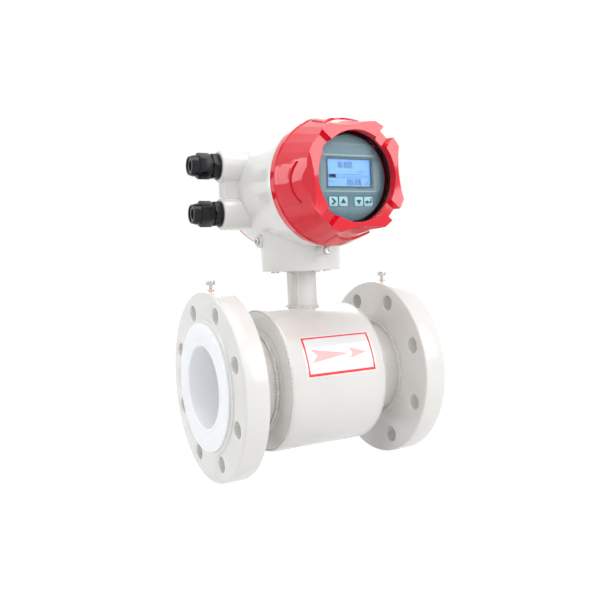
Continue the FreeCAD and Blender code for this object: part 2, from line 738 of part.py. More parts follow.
def base_screw(number):
    """A socket screw that holds the head on the neck flange from below."""
    low = counterbore - S.base_screw_head_height
    item = turned("base_screw_" + str(number), [
        (0, low),
        (S.base_screw_head, low),
        (S.base_screw_head, counterbore),
        (S.base_screw_radius, counterbore),
        (S.base_screw_radius, counterbore + S.base_screw_length),
        (0, counterbore + S.base_screw_length),
    ])
    socket = hexagon(new_sketch(item, "XY_Plane", "socket", low), S.base_screw_head)
    pocket(item, socket, S.base_screw_head_height / 2, forwards=True)
    x, y = polar(S.base_ring_radius, QUARTER * number)
    return place(item, x, y)


group("head_base_screws", [base_screw(number) for number in range(4)])

# Sealing compound is cast round the sensor leads at the top of the neck.
keep(disc("neck_plug", neck_inner - S.fit, neck_flange_high - S.plug_length, neck_flange_high))

# ---------------------------------------------------------------- head casting

seat_drop = S.head_height - head_seat
boss_half = S.boss_spacing / 2
barrel_end = S.barrel_radius - S.barrel_taper

head_body = new_body("head_body")
spin(head_body, outline(new_sketch(head_body, "XZ_Plane", "barrel"), [
    (0, -(S.barrel_rear + S.spigot_length)),
    (S.rear_spigot_radius, -(S.barrel_rear + S.spigot_length)),
    (S.rear_spigot_radius, -S.barrel_rear),
    (barrel_end, -S.barrel_rear),
    (S.barrel_radius, S.barrel_front),
    (S.spigot_radius, S.barrel_front),
    (S.spigot_radius, S.barrel_front + S.spigot_length),
    (0, S.barrel_front + S.spigot_length),
]))
spin(head_body, outline(new_sketch(head_body, "XY_Plane", "foot"), [
    (0, -S.foot_drop),
    (S.foot_radius, -S.foot_drop),
    (S.foot_top_radius, S.foot_depth - S.foot_drop),
    (0, S.foot_depth - S.foot_drop),
]))
for level, height in (("upper", boss_half), ("lower", -boss_half)):
    boss = new_sketch(head_body, "XY_Plane", level + "_boss", -S.boss_setback)
    outline(boss, [
        (0, height),
        (0, height + S.boss_radius),
        (S.boss_round - S.boss_reach, height + S.boss_radius),
        (-S.boss_reach, height + S.boss_radius - S.boss_round, S.boss_round),
        (-S.boss_reach, height),
    ])
    spin(head_body, boss, middle_line(boss, (0, height), (-S.boss_reach, height)))
web = new_sketch(head_body, "YZ_Plane", "web")
rectangle(web, Size.of(0), -S.boss_setback, S.boss_spacing, S.web_thickness)
pad(head_body, web, S.web_reach, backwards=True)
lock_boss = circle(new_sketch(head_body, "XY_Plane", "lock_boss"), 0, -S.lock_boss_drop, S.lock_boss_radius)
pad(head_body, lock_boss, S.lock_boss_reach)
earth_boss = new_sketch(head_body, "YZ_Plane", "earth_boss")
circle(earth_boss, -S.earth_boss_drop, -S.earth_boss_setback, S.earth_boss_radius)
pad(head_body, earth_boss, S.earth_boss_reach, backwards=True)

spin(head_body, outline(new_sketch(head_body, "XZ_Plane", "front_chamber"), [
    (0, S.partition_front),
    (S.chamber_radius, S.partition_front),
    (S.chamber_radius, S.barrel_front + S.spigot_length),
    (0, S.barrel_front + S.spigot_length),
]), cut=True)
spin(head_body, outline(new_sketch(head_body, "XZ_Plane", "rear_chamber"), [
    (0, -(S.barrel_rear + S.spigot_length)),
    (S.rear_chamber_radius, -(S.barrel_rear + S.spigot_length)),
    (S.rear_chamber_radius, S.partition_rear),
    (0, S.partition_rear),
]), cut=True)

recess = circle(new_sketch(head_body, "XZ_Plane", "recess", S.foot_drop), 0, 0, S.foot_radius - S.foot_wall)
pocket(head_body, recess, S.foot_drop - seat_drop)
hollow = circle(new_sketch(head_body, "XZ_Plane", "hollow", seat_drop), 0, 0, S.foot_duct)
pocket(head_body, hollow, seat_drop - S.barrel_radius + S.fit)
duct = circle(new_sketch(head_body, "XZ_Plane", "duct", seat_drop), 0, 0, S.cable_duct)
pocket(head_body, duct, seat_drop - S.chamber_radius + S.cable_duct / 2)
threads = new_sketch(head_body, "XZ_Plane", "base_threads", seat_drop)
for number in range(4):
    circle(threads, *polar(S.base_ring_radius, QUARTER * number), S.base_screw_radius + S.fit)
pocket(head_body, threads, S.base_screw_length)
entries = new_sketch(head_body, "YZ_Plane", "entries", -S.boss_reach)
for height in (boss_half, -boss_half):
    circle(entries, height, -S.boss_setback, S.gland_thread + S.fit)
pocket(head_body, entries, S.boss_reach - S.rear_chamber_radius + S.gland_thread * 1.5, forwards=True)
lock_hole = circle(new_sketch(head_body, "XY_Plane", "lock_hole", S.lock_boss_reach), 0,
                   -S.lock_boss_drop, S.screw_radius + S.fit)
pocket(head_body, lock_hole, S.screw_depth + S.thread_gap)
earth_hole = circle(new_sketch(head_body, "YZ_Plane", "earth_hole", -S.earth_boss_reach),
                    -S.earth_boss_drop, -S.earth_boss_setback, S.screw_radius + S.fit)
pocket(head_body, earth_hole, S.screw_depth + S.thread_gap, forwards=True)

keep(place(head_body, z=S.head_height, rotation=FORWARD))


def small_screw(label):
    """A socket screw with a round head, standing on its own origin."""
    item = turned(label, [
        (0, -S.screw_depth),
        (S.screw_radius, -S.screw_depth),
        (S.screw_radius, S.fit),
        (S.screw_head_radius, S.fit),
        (S.screw_head_radius, S.screw_head_height),
        (0, S.screw_head_height),
    ])
    socket = hexagon(new_sketch(item, "XY_Plane", "socket", S.screw_head_height), S.screw_radius * 1.6)
    pocket(item, socket, S.screw_head_height / 2)
    return keep(item)


place(small_screw("cover_lock_screw"), y=-S.lock_boss_reach, z=S.head_height - S.lock_boss_drop,
      rotation=FORWARD)
place(small_screw("head_earth_screw"), x=-S.earth_boss_reach, y=S.earth_boss_setback,
      z=S.head_height - S.earth_boss_drop, rotation=UPSTREAM)

# ---------------------------------------------------------------- covers


def skirt_section(sketch, radius, crown, strip, pad_start, pad_end):
    """The many-sided outline of a skirt: four pads and, between them, a strip with a facet each side."""
    half_span = (QUARTER - pad_start - pad_end) / 2
    half_chord = radius * polar(1, half_span)[1]
    rise = crown - radius * polar(1, half_span)[0]
    bend = (half_chord * half_chord + rise * rise) / (rise * 2)
    points = []
    for quadrant in range(4):
        notch = EIGHTH + QUARTER * quadrant
        for angle in (strip, S.facet_angle, pad_start):
            points.append(polar(radius, notch + angle))
        points.append((*polar(radius, notch + QUARTER - pad_end), bend))
        for angle in (S.facet_angle, strip):
            points.append(polar(radius, notch + QUARTER - angle))
    return outline(sketch, points)


def lobe_section(sketch, radius, strip, facet, pad_point, bend):
    """The outline of one lobe about the sketch's own X axis, open to the window on its inner side."""
    inner = S.window_radius - S.glass_gasket
    wall_half = radius * polar(1, strip)[1]
    inner_angle_sine = wall_half / inner
    inner_angle_cosine = root(1 - inner_angle_sine * inner_angle_sine)
    diagonal = math.sqrt(0.5)
    inner_x = inner * (inner_angle_cosine + inner_angle_sine) * diagonal
    inner_y = inner * (inner_angle_cosine - inner_angle_sine) * diagonal
    pad_x, pad_y = pad_point
    strip_x, strip_y = polar(radius, EIGHTH - strip)
    facet_x, facet_y = polar(radius, EIGHTH - facet)
    return outline(sketch, [
        (strip_x, -strip_y),
        (facet_x, -facet_y),
        (pad_x, -pad_y),
        (pad_x, pad_y, bend),
        (facet_x, facet_y),
        (strip_x, strip_y),
        (inner_x, inner_y),
        (inner_x, -inner_y, -inner),
    ])


def cover(label, rim_start, rim_radius, rim_length, skirt_length, end_radius, end_crown, flare):
    """A cast screw cover: plain rim, skirt of pads and facets, and four lobes to grip."""
    item = new_body(label)
    skirt_start = rim_start + rim_length
    shoulder = skirt_start + skirt_length
    rim = circle(new_sketch(item, "XY_Plane", "rim", rim_start), 0, 0, rim_radius)
    pad(item, rim, rim_length)
    rear = new_sketch(item, "XY_Plane", "skirt_rear", skirt_start)
    front = new_sketch(item, "XY_Plane", "skirt_front", shoulder)
    skirt_section(rear, rim_radius - S.skirt_step, rim_radius - S.crown_step, S.strip_rear_angle,
                  S.pad_rear_start, S.pad_rear_end)
    skirt_section(front, end_radius, end_crown, S.strip_front_angle, S.pad_front_angle, S.pad_front_angle)
    loft(item, [rear, front])

    pad_point = polar(end_radius, EIGHTH - S.pad_front_angle)
    rise = end_crown - pad_point[0]
    convex = (pad_point[1] * pad_point[1] + rise * rise) / (rise * 2)
    face_height = shoulder + S.lobe_height
    tip_radius = end_radius + flare
    face_pad = polar(tip_radius, EIGHTH - S.pad_front_angle)
    base = new_sketch(item, "XY_Plane", "lobe_base", shoulder)
    lobe_section(base, end_radius, S.strip_front_angle, S.facet_angle, pad_point, convex)
    face = new_sketch(item, "XY_Plane", "lobe_face", face_height)
    lobe_section(face, tip_radius, S.lobe_notch_angle, S.lobe_tip_angle, face_pad, tip_radius)
    repeat(item, loft(item, [base, face]), base, 4)
    return item


def scallops(item, face_height, tip_radius):
    """Hollow the side of each lobe with a turned groove that leans with the cover."""
    tip_x, tip_y = polar(tip_radius, EIGHTH - S.lobe_tip_angle)
    sink = tip_x - S.scallop_radius
    sweep = (tip_y * tip_y + sink * sink) / (sink * 2)
    middle = S.scallop_radius + sweep
    fall = (S.scallop_end_radius - S.scallop_radius) / S.scallop_depth
    top = face_height + S.lobe_height
    bottom = face_height - S.scallop_depth * 2
    scallop = new_sketch(item, "XZ_Plane", "scallop")
    outline(scallop, [
        (middle, top),
        (S.scallop_radius - fall * S.lobe_height, top),
        (S.scallop_end_radius + fall * S.scallop_depth, bottom),
        (middle, bottom),
    ])
    axis = middle_line(scallop, (middle, top), (middle, bottom))
    about = new_sketch(item, "XY_Plane", "scallop_ring", face_height)
    repeat(item, spin(item, scallop, axis, cut=True), about, 4)


front_rim = S.barrel_front + S.seam_gap
front_shoulder = front_rim + S.cover_rim + S.skirt_length
front_face = front_shoulder + S.lobe_height
gasket_face = front_face - S.lip_depth
glass_face = gasket_face - S.glass_gasket
glass_back = glass_face - S.glass_thickness
cover_bore = S.spigot_radius + S.thread_gap
glass_pocket = S.glass_radius + S.fit
tight = FreeCAD.Rotation(VECTOR(0, 0, 1), S.cover_turn.value)

front_cover = cover("front_cover", front_rim, S.barrel_radius, S.cover_rim, S.skirt_length,
                    S.skirt_front_radius, S.skirt_front_crown, S.lobe_flare)
scallops(front_cover, front_face, S.skirt_front_radius + S.lobe_flare)
cover_stop = S.barrel_front + S.spigot_length + S.thread_gap + S.cover_seal
spin(front_cover, outline(new_sketch(front_cover, "XZ_Plane", "cavity"), [
    (0, S.barrel_front),
    (cover_bore, S.barrel_front),
    (cover_bore, cover_stop),
    (glass_pocket, cover_stop),
    (glass_pocket, gasket_face),
    (S.window_radius, gasket_face),
    (S.window_radius, front_face),
    (0, front_face),
]), cut=True)
keep(place(front_cover, z=S.head_height, rotation=FORWARD.multiply(tight)))

rear_rim = S.barrel_rear + S.seam_gap
rear_cover = cover("rear_cover", rear_rim, barrel_end, S.rear_rim, S.rear_skirt_length,
                   S.rear_skirt_radius, S.rear_skirt_crown, Size.of(0))
rear_bore = S.rear_spigot_radius + S.thread_gap
rear_stop = S.barrel_rear + S.spigot_length + S.thread_gap + S.cover_seal
rear_end = rear_rim + S.rear_rim + S.rear_skirt_length
rear_face = new_sketch(rear_cover, "XY_Plane", "end_wall", rear_end)
pad(rear_cover, circle(rear_face, 0, 0, S.window_radius), S.rear_disc)
spin(rear_cover, outline(new_sketch(rear_cover, "XZ_Plane", "cavity"), [
    (0, S.barrel_rear),
    (rear_bore, S.barrel_rear),
    (rear_bore, rear_stop),
    (S.rear_chamber_radius, rear_stop),
    (S.rear_chamber_radius, rear_end - S.rear_wall),
    (0, rear_end - S.rear_wall),
]), cut=True)
keep(place(rear_cover, z=S.head_height, rotation=BACKWARD))

for label, inner, bore, stop, rotation in (
    ("front_seal", S.chamber_radius, cover_bore, cover_stop, FORWARD),
    ("rear_seal", S.rear_chamber_radius, rear_bore, rear_stop, BACKWARD),
):
    seal = ring(label, inner + S.thread_gap, bore - S.thread_gap, stop - S.cover_seal, stop)
    keep(place(seal, z=S.head_height, rotation=rotation))

keep(place(ring("glass_gasket", S.glass_gasket_inner, S.glass_radius, glass_face, gasket_face),
           z=S.head_height, rotation=FORWARD))
keep(place(disc("window_glass", S.glass_radius, glass_back, glass_face),
           z=S.head_height, rotation=FORWARD))
keep(place(ring("glass_retaining_ring", S.retainer_inner, S.glass_radius,
                glass_back - S.retainer_thickness, glass_back), z=S.head_height, rotation=FORWARD))

# ---------------------------------------------------------------- display module

panel_face = glass_back - S.panel_setback
panel_back = panel_face - S.panel_thickness
can_back = panel_back - S.can_length
KEYS = (("shift", -1, S.key_outer_x), ("up", -1, S.key_inner_x),
        ("down", 1, S.key_inner_x), ("enter", 1, S.key_outer_x))

display_panel = disc("display_panel", S.panel_radius, panel_back, panel_face)
window = new_sketch(display_panel, "XY_Plane", "window", panel_face)
rectangle(window, S.lcd_centre_x, S.lcd_centre_z, S.lcd_width, S.lcd_height)
pocket(display_panel, window, S.panel_thickness)
key_holes = new_sketch(display_panel, "XY_Plane", "key_holes", panel_face)
for name, direction, offset in KEYS:
    rounded_rectangle(key_holes, S.lcd_centre_x + direction * offset, -S.key_drop,
                      S.key_width + S.key_gap * 2,
                      S.key_height + S.key_gap * 2, S.key_round + S.key_gap)
pocket(display_panel, key_holes, S.panel_thickness)
keep(place(display_panel, z=S.head_height, rotation=FORWARD))

can_inner = S.panel_radius - S.can_wall
display_housing = turned("display_housing", [
    (0, can_back),
    (S.panel_radius, can_back),
    (S.panel_radius, panel_back),
    (can_inner, panel_back),
    (can_inner, can_back + S.can_wall),
    (0, can_back + S.can_wall),
])
keep(place(display_housing, z=S.head_height, rotation=FORWARD))

lcd_back = panel_back - S.lcd_thickness
lcd = new_body("lcd_module")
lcd_outline = new_sketch(lcd, "XY_Plane", "glass", lcd_back)
rectangle(lcd_outline, S.lcd_centre_x, S.lcd_centre_z, S.lcd_width + S.lcd_border * 2,
          S.lcd_height + S.lcd_border * 2)
pad(lcd, lcd_outline, S.lcd_thickness)
keep(place(lcd, z=S.head_height, rotation=FORWARD))

for name, direction, offset in KEYS:
    key = new_body("key_" + name)
    cap_start = panel_back - S.key_gap
    cap = new_sketch(key, "XY_Plane", "cap", cap_start)
    rounded_rectangle(cap, Size.of(0), Size.of(0), S.key_width, S.key_height, S.key_round)
    pad(key, cap, panel_face + S.key_proud - cap_start)
    stem_end = lcd_back + S.key_travel
    stem = circle(new_sketch(key, "XY_Plane", "stem", stem_end), 0, 0, S.key_height / 3)
    pad(key, stem, cap_start - stem_end)
    keep(place(key, x=S.lcd_centre_x + direction * offset, z=S.head_height - S.key_drop, rotation=FORWARD))

display_board = disc("display_board", can_inner - S.key_gap, lcd_back - S.board_thickness, lcd_back)
keep(place(display_board, z=S.head_height, rotation=FORWARD))

# ---------------------------------------------------------------- electronics in the front chamber

for label, height in (("main_board", S.main_board_height), ("power_board", S.power_board_height)):
    board = disc(label, S.board_radius, height, height + S.board_thickness)
    stepped_hole(board, "pillar_hole", S.pillar_ring_radius, [
        (S.pillar_radius + S.fit, height),
        (S.pillar_radius + S.fit, height + S.board_thickness),
    ], 4)
    keep(place(board, z=S.head_height, rotation=FORWARD))

pillars = []
for number in range(4):
    pillar = disc("pillar_" + str(number), S.pillar_radius, S.partition_front, can_back)
    x, y = polar(S.pillar_ring_radius, QUARTER * number)
    pillars.append(place(pillar, x=x, z=S.head_height + y, rotation=FORWARD))
group("board_pillars", pillars)

# ---------------------------------------------------------------- terminals in the rear chamber

terminal_pitch = S.terminal_length / S.terminal_count
terminal_block = new_body("terminal_block")
block_outline = new_sketch(terminal_block, "XY_Plane", "block", S.partition_rear - S.terminal_depth)
rectangle(block_outline, Size.of(0), -S.terminal_drop, S.terminal_length, S.terminal_width)
pad(terminal_block, block_outline, S.terminal_depth)
wells = new_sketch(terminal_block, "XY_Plane", "wells", S.partition_rear - S.terminal_depth)
terminals = range(int(S.terminal_count.value))
places = [(number + 0.5) * terminal_pitch - S.terminal_length / 2 for number in terminals]
for offset in places:
    circle(wells, offset, -S.terminal_drop, terminal_pitch / 3)
pocket(terminal_block, wells, S.terminal_depth / 2, forwards=True)
keep(place(terminal_block, z=S.head_height, rotation=FORWARD))

screws = []
for number, offset in enumerate(places):
    well_floor = S.partition_rear - S.terminal_depth / 2
    screw = disc("terminal_screw_" + str(number), terminal_pitch / 3 - S.fit,
                 well_floor - S.terminal_screw_height, well_floor)
    screws.append(place(screw, x=offset, z=S.head_height - S.terminal_drop, rotation=FORWARD))
group("terminal_screws", screws)

# ---------------------------------------------------------------- cable glands

collar_end = S.gland_washer + S.gland_collar
spigot_end = collar_end + S.gland_spigot_length
nut_start = collar_end + S.gland_gap
hexagon_end = nut_start + S.gland_hexagon
nut_end = hexagon_end + S.gland_dome
dome_wall = S.gland_dome_radius - S.gland_spigot - S.gland_gap


def gland(level, height):
    """A cable gland: washer, body, rubber insert and the domed nut that presses it."""
    washer = ring(level + "_gland_washer", S.gland_thread + S.fit, S.gland_collar_radius, S.fit,
                  S.gland_washer)
    body = turned(level + "_gland_body", [
        (S.gland_bore, -S.gland_thread_length),
        (S.gland_thread, -S.gland_thread_length),
        (S.gland_thread, S.gland_washer),
        (S.gland_collar_radius, S.gland_washer),
        (S.gland_collar_radius, collar_end),
        (S.gland_spigot, collar_end),
        (S.gland_spigot, spigot_end),
        (S.gland_bore, spigot_end),
    ])
    nut = new_body(level + "_gland_nut")
    pad(nut, hexagon(new_sketch(nut, "XY_Plane", "hexagon", nut_start), S.gland_flats), S.gland_hexagon)
    spin(nut, outline(new_sketch(nut, "XZ_Plane", "dome"), [
        (0, hexagon_end - S.gland_gap),
        (S.gland_dome_radius, hexagon_end - S.gland_gap),
        (S.gland_dome_radius, nut_end - S.gland_dome / 2),
        (S.gland_dome_radius - S.gland_washer, nut_end),
        (0, nut_end),
    ]))
    spin(nut, outline(new_sketch(nut, "XZ_Plane", "hollow"), [
        (0, nut_start),
        (S.gland_spigot + S.gland_gap, nut_start),
        (S.gland_spigot + S.gland_gap, hexagon_end),
        (S.gland_mouth, nut_end - S.gland_washer),
        (S.gland_mouth, nut_end),
        (0, nut_end),
    ]), cut=True)
    insert = turned(level + "_gland_seal", [
        (S.seal_bore, spigot_end + S.gland_gap),
        (S.gland_spigot - S.gland_gap, spigot_end + S.gland_gap),
        (S.gland_spigot - S.gland_gap, hexagon_end - S.gland_gap),
        (S.gland_mouth - S.gland_gap, nut_end - S.gland_washer - S.gland_gap),
        (S.seal_bore, nut_end - S.gland_washer - S.gland_gap),
    ])
    for item in (washer, body, nut, insert):
        keep(place(item, x=-S.boss_reach, y=S.boss_setback, z=height, rotation=UPSTREAM))


gland("upper", S.head_height + boss_half)
gland("lower", S.head_height - boss_half)

# ---------------------------------------------------------------- checks and export

document.recompute()
for item in document.Objects:
    if "Invalid" in item.State or "Error" in item.State:
        raise RuntimeError(item.Label + " failed: " + ", ".join(item.State))
    base = getattr(item, "BaseFeature", None)
    if item.TypeId in ("PartDesign::Pocket", "PartDesign::Groove"):
        if base is None or item.Shape.Volume >= base.Shape.Volume - 0.01:
            raise RuntimeError(item.Label + " cuts nothing")
for item in PARTS:
    if item.Shape.isNull() or not item.Shape.isValid():
        raise RuntimeError(item.Label + " has no valid shape")

os.makedirs("parts", exist_ok=True)
for item in PARTS:
    item.Shape.exportStep("parts/" + item.Label + ".step")
print(len(PARTS), "pieces written")
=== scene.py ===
"""An electromagnetic flow meter: a lined steel tube between two pipe flanges, with a display head on a neck.

Metres. +X is the direction of flow, the display faces -Y, and +Z runs up the neck.
"""
import json
import math

import bpy
from mathutils import Matrix, Vector

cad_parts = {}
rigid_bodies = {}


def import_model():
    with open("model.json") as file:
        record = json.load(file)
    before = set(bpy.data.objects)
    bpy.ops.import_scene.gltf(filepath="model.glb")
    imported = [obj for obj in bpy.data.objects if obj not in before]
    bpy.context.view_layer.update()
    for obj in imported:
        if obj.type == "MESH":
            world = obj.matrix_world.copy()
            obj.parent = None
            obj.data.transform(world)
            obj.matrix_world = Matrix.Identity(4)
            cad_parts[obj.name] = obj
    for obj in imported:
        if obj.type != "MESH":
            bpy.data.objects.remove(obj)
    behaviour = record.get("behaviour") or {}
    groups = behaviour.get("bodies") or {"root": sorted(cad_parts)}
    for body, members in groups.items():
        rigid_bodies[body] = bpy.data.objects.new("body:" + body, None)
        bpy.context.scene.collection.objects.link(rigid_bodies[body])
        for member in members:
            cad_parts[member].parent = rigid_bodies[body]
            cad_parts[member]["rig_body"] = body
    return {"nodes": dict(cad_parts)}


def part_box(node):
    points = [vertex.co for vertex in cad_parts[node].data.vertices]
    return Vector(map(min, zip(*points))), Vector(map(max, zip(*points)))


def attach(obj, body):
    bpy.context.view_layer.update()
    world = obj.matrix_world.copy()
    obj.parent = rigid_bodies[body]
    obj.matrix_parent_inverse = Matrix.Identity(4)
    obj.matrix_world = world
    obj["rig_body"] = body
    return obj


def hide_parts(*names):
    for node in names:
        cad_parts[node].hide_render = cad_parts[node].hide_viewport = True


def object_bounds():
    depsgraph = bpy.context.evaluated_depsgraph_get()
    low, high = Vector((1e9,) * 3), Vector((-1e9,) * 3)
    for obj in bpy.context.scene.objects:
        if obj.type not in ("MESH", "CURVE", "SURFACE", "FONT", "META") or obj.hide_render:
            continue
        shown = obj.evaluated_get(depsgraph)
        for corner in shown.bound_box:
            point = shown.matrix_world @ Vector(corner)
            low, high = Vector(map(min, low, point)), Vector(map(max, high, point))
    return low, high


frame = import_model()
cad_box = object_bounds()

# ---------------------------------------------------------------- camera, floor and light
# A long view from the inlet side, a little above the flow axis, with the meter on a white table.
# Five soft boxes and a pale surround light it evenly, as in a light tent.

azimuth = math.radians(28.59)
elevation = math.radians(3.42)
roll = math.radians(-2.18)
aim_point, distance = (-0.00328, 0.0, 0.09253), 0.88568
lens = bpy.data.cameras.new("camera")
lens.lens = 43.29
lens.sensor_width = 36.0
lens.clip_start = 0.01
camera = bpy.data.objects.new("camera", lens)
bpy.context.scene.collection.objects.link(camera)
look = Matrix.Translation(aim_point)
look @= Matrix.Rotation(-azimuth, 4, "Z") @ Matrix.Rotation(math.pi / 2 - elevation, 4, "X")
look @= Matrix.Rotation(roll, 4, "Z") @ Matrix.Translation((0, 0, distance))
camera.matrix_world = look
bpy.context.scene.camera = camera
bpy.context.scene.view_settings.view_transform = "Standard"


def reckoned(tree, operation, *values):
    """The outcome of an operation on sockets and plain numbers."""
    node = tree.nodes.new("ShaderNodeMath")
    node.operation = operation
    for socket, value in zip(node.inputs, values):
        if isinstance(value, bpy.types.NodeSocket):
            tree.links.new(value, socket)
        else:
            socket.default_value = value
    return node.outputs[0]


def seen_directly(tree):
    """A factor that is 1 for what the camera sees, directly, in a gloss or through the window."""
    path = tree.nodes.new("ShaderNodeLightPath")
    factor = path.outputs["Is Camera Ray"]
    for kind in ("Is Glossy Ray", "Is Transmission Ray"):
        factor = reckoned(tree, "MAXIMUM", factor, path.outputs[kind])
    return factor


surround = bpy.data.worlds.new("surround")
bpy.context.scene.world = surround
surround.use_nodes = True
tree = surround.node_tree
ambient = tree.nodes["Background"]
ambient.inputs["Color"].default_value = (0.93, 0.96, 1.0, 1)
ambient.inputs["Strength"].default_value = 0.45
white = tree.nodes.new("ShaderNodeBackground")
white.inputs["Color"].default_value = (1, 1, 1, 1)
white.inputs["Strength"].default_value = 1.0
choice = tree.nodes.new("ShaderNodeMixShader")
tree.links.new(seen_directly(tree), choice.inputs[0])
tree.links.new(ambient.outputs[0], choice.inputs[1])
tree.links.new(white.outputs[0], choice.inputs[2])
tree.links.new(choice.outputs[0], tree.nodes["World Output"].inputs["Surface"])


def soft_box(name, place, aim, width, height, power, colour=(1, 1, 1)):
    """A large square lamp at place that shines towards aim."""
    data = bpy.data.lights.new(name, "AREA")
    data.shape = "RECTANGLE"
    data.size = width
    data.size_y = height
    data.energy = power
    data.color = colour
    lamp = bpy.data.objects.new(name, data)
    bpy.context.scene.collection.objects.link(lamp)
    lamp.location = place
    lamp.rotation_euler = (Vector(aim) - Vector(place)).to_track_quat("-Z", "Y").to_euler()


soft_box("left_box", (-1.05, -0.95, 0.95), (0, 0, 0.14), 0.7, 0.9, 5.2)
soft_box("right_box", (0.75, -1.25, 0.75), (0, 0, 0.14), 0.7, 0.9, 10.5)
soft_box("back_box", (-1.35, 1.05, 0.62), (0, 0, 0.2), 0.9, 0.8, 6)
soft_box("top_box", (-0.1, -0.25, 1.35), (0, 0, 0.1), 1.1, 0.8, 9)
soft_box("rear_box", (0.75, 1.35, 0.75), (0, 0, 0.08), 1.8, 0.9, 7)

bpy.ops.mesh.primitive_plane_add(size=12, location=(0, 0, cad_box[0][2] - 0.0002))
table_top = bpy.context.object
table_top.name = "table_top"
paper = bpy.data.materials.new("white_table")
paper.use_nodes = True
tree = paper.node_tree
tree.nodes["Principled BSDF"].inputs["Base Color"].default_value = (0.86, 0.86, 0.86, 1)
tree.nodes["Principled BSDF"].inputs["Roughness"].default_value = 0.8
bright = tree.nodes.new("ShaderNodeEmission")
bright.inputs["Strength"].default_value = 1.17
share = reckoned(tree, "MULTIPLY", seen_directly(tree), 0.80)
choice = tree.nodes.new("ShaderNodeMixShader")
tree.links.new(share, choice.inputs[0])
tree.links.new(tree.nodes["Principled BSDF"].outputs[0], choice.inputs[1])
tree.links.new(bright.outputs[0], choice.inputs[2])
tree.links.new(choice.outputs[0], tree.nodes["Material Output"].inputs["Surface"])
table_top.data.materials.append(paper)

# ---------------------------------------------------------------- flanges, measuring tube and coil housing
# Slip-on steel flanges and a rolled steel housing, welded on the measuring tube and sprayed together
# with a warm white gloss enamel. The enamel rounds every edge and shows a fine orange peel.


def bumped(tree, height, distance):
    """The normal of a surface whose relief follows height and is distance deep."""
    bump = tree.nodes.new("ShaderNodeBump")
    bump.inputs["Strength"].default_value = 1.0
    bump.inputs["Distance"].default_value = distance
    tree.links.new(height, bump.inputs["Height"])
    return bump.outputs["Normal"]


def finish(name, low, high, patch, roughness, spread=0.04, relief=0.0, grain=900, detail=2, **sockets):
    """A finish whose colour drifts from low to high over patches, with a fine relief under its gloss."""
    material = bpy.data.materials.new(name)
    material.use_nodes = True
    nodes, links = material.node_tree.nodes, material.node_tree.links
    surface = nodes["Principled BSDF"]
    place = nodes.new("ShaderNodeTexCoord")
    drift = nodes.new("ShaderNodeTexNoise")
    drift.inputs["Scale"].default_value = patch
    drift.inputs["Detail"].default_value = 4
    links.new(place.outputs["Object"], drift.inputs["Vector"])
    tint = nodes.new("ShaderNodeValToRGB")
    tint.color_ramp.elements[0].position = 0.3
    tint.color_ramp.elements[0].color = (*low, 1)
    tint.color_ramp.elements[1].position = 0.7
    tint.color_ramp.elements[1].color = (*high, 1)
    links.new(drift.outputs["Fac"], tint.inputs["Fac"])
    links.new(tint.outputs["Color"], surface.inputs["Base Color"])
    wear = nodes.new("ShaderNodeMapRange")
    wear.inputs["To Min"].default_value = roughness - spread
    wear.inputs["To Max"].default_value = roughness + spread
    links.new(drift.outputs["Fac"], wear.inputs["Value"])
    links.new(wear.outputs["Result"], surface.inputs["Roughness"])
    if relief:
        peel = nodes.new("ShaderNodeTexNoise")
        peel.inputs["Scale"].default_value = grain
        peel.inputs["Detail"].default_value = detail
        links.new(place.outputs["Object"], peel.inputs["Vector"])
        links.new(bumped(material.node_tree, peel.outputs["Fac"], relief), surface.inputs["Normal"])
    for socket, value in sockets.items():
        surface.inputs[socket.replace("_", " ").title().replace("Ior", "IOR")].default_value = value
    return material


def only(*pieces):
    """Leave just these pieces selected, the first of them active."""
    if bpy.context.object and bpy.context.object.mode != "OBJECT":
        bpy.ops.object.mode_set(mode="OBJECT")
    bpy.ops.object.select_all(action="DESELECT")
    for piece in pieces:
        piece.select_set(True)
    bpy.context.view_layer.objects.active = pieces[0]


def rounded(piece, edge, steps=2, sharp=30):
    """Round every edge sharper than sharp degrees, and shade what is left smoothly."""
    only(piece)
    bevel = piece.modifiers.new("rounding", "BEVEL")
    bevel.width = edge
    bevel.segments = steps
    bevel.limit_method = "ANGLE"
    bevel.angle_limit = math.radians(sharp)
    bpy.ops.object.modifier_apply(modifier="rounding")
    bpy.ops.object.shade_smooth_by_angle(angle=math.radians(sharp))


def fixed(piece, name, body, material):
    """Name a piece, give it its finish and let it ride on its body."""
    piece.name = name
    piece.data.name = name
    piece.data.materials.clear()
    piece.data.materials.append(material)
    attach(piece, body)
    return piece


def merged(node):
    """A copy of a solid with its facets joined, for work in place of the solid."""
    source = frame["nodes"][node]
    piece = bpy.data.objects.new(node + "_finished", source.data.copy())
    bpy.context.scene.collection.objects.link(piece)
    only(piece)
    bpy.ops.mesh.customdata_custom_splitnormals_clear()
    bpy.ops.object.mode_set(mode="EDIT")
    bpy.ops.mesh.select_all(action="SELECT")
    bpy.ops.mesh.remove_doubles(threshold=2e-6)
    bpy.ops.mesh.normals_make_consistent(inside=False)
    bpy.ops.object.mode_set(mode="OBJECT")
    return piece


def stands_in(piece, node, edge, material, steps=2, sharp=30):
    """Round a piece and show it in place of a solid."""
    rounded(piece, edge, steps, sharp)
    fixed(piece, node + "_finished", frame["nodes"][node]["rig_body"], material)
    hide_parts(node)
    return piece


def softened(node, edge, material, steps=2, sharp=30):
    """Show a solid with rounded edges and a finish of its own."""
    return stands_in(merged(node), node, edge, material, steps, sharp)


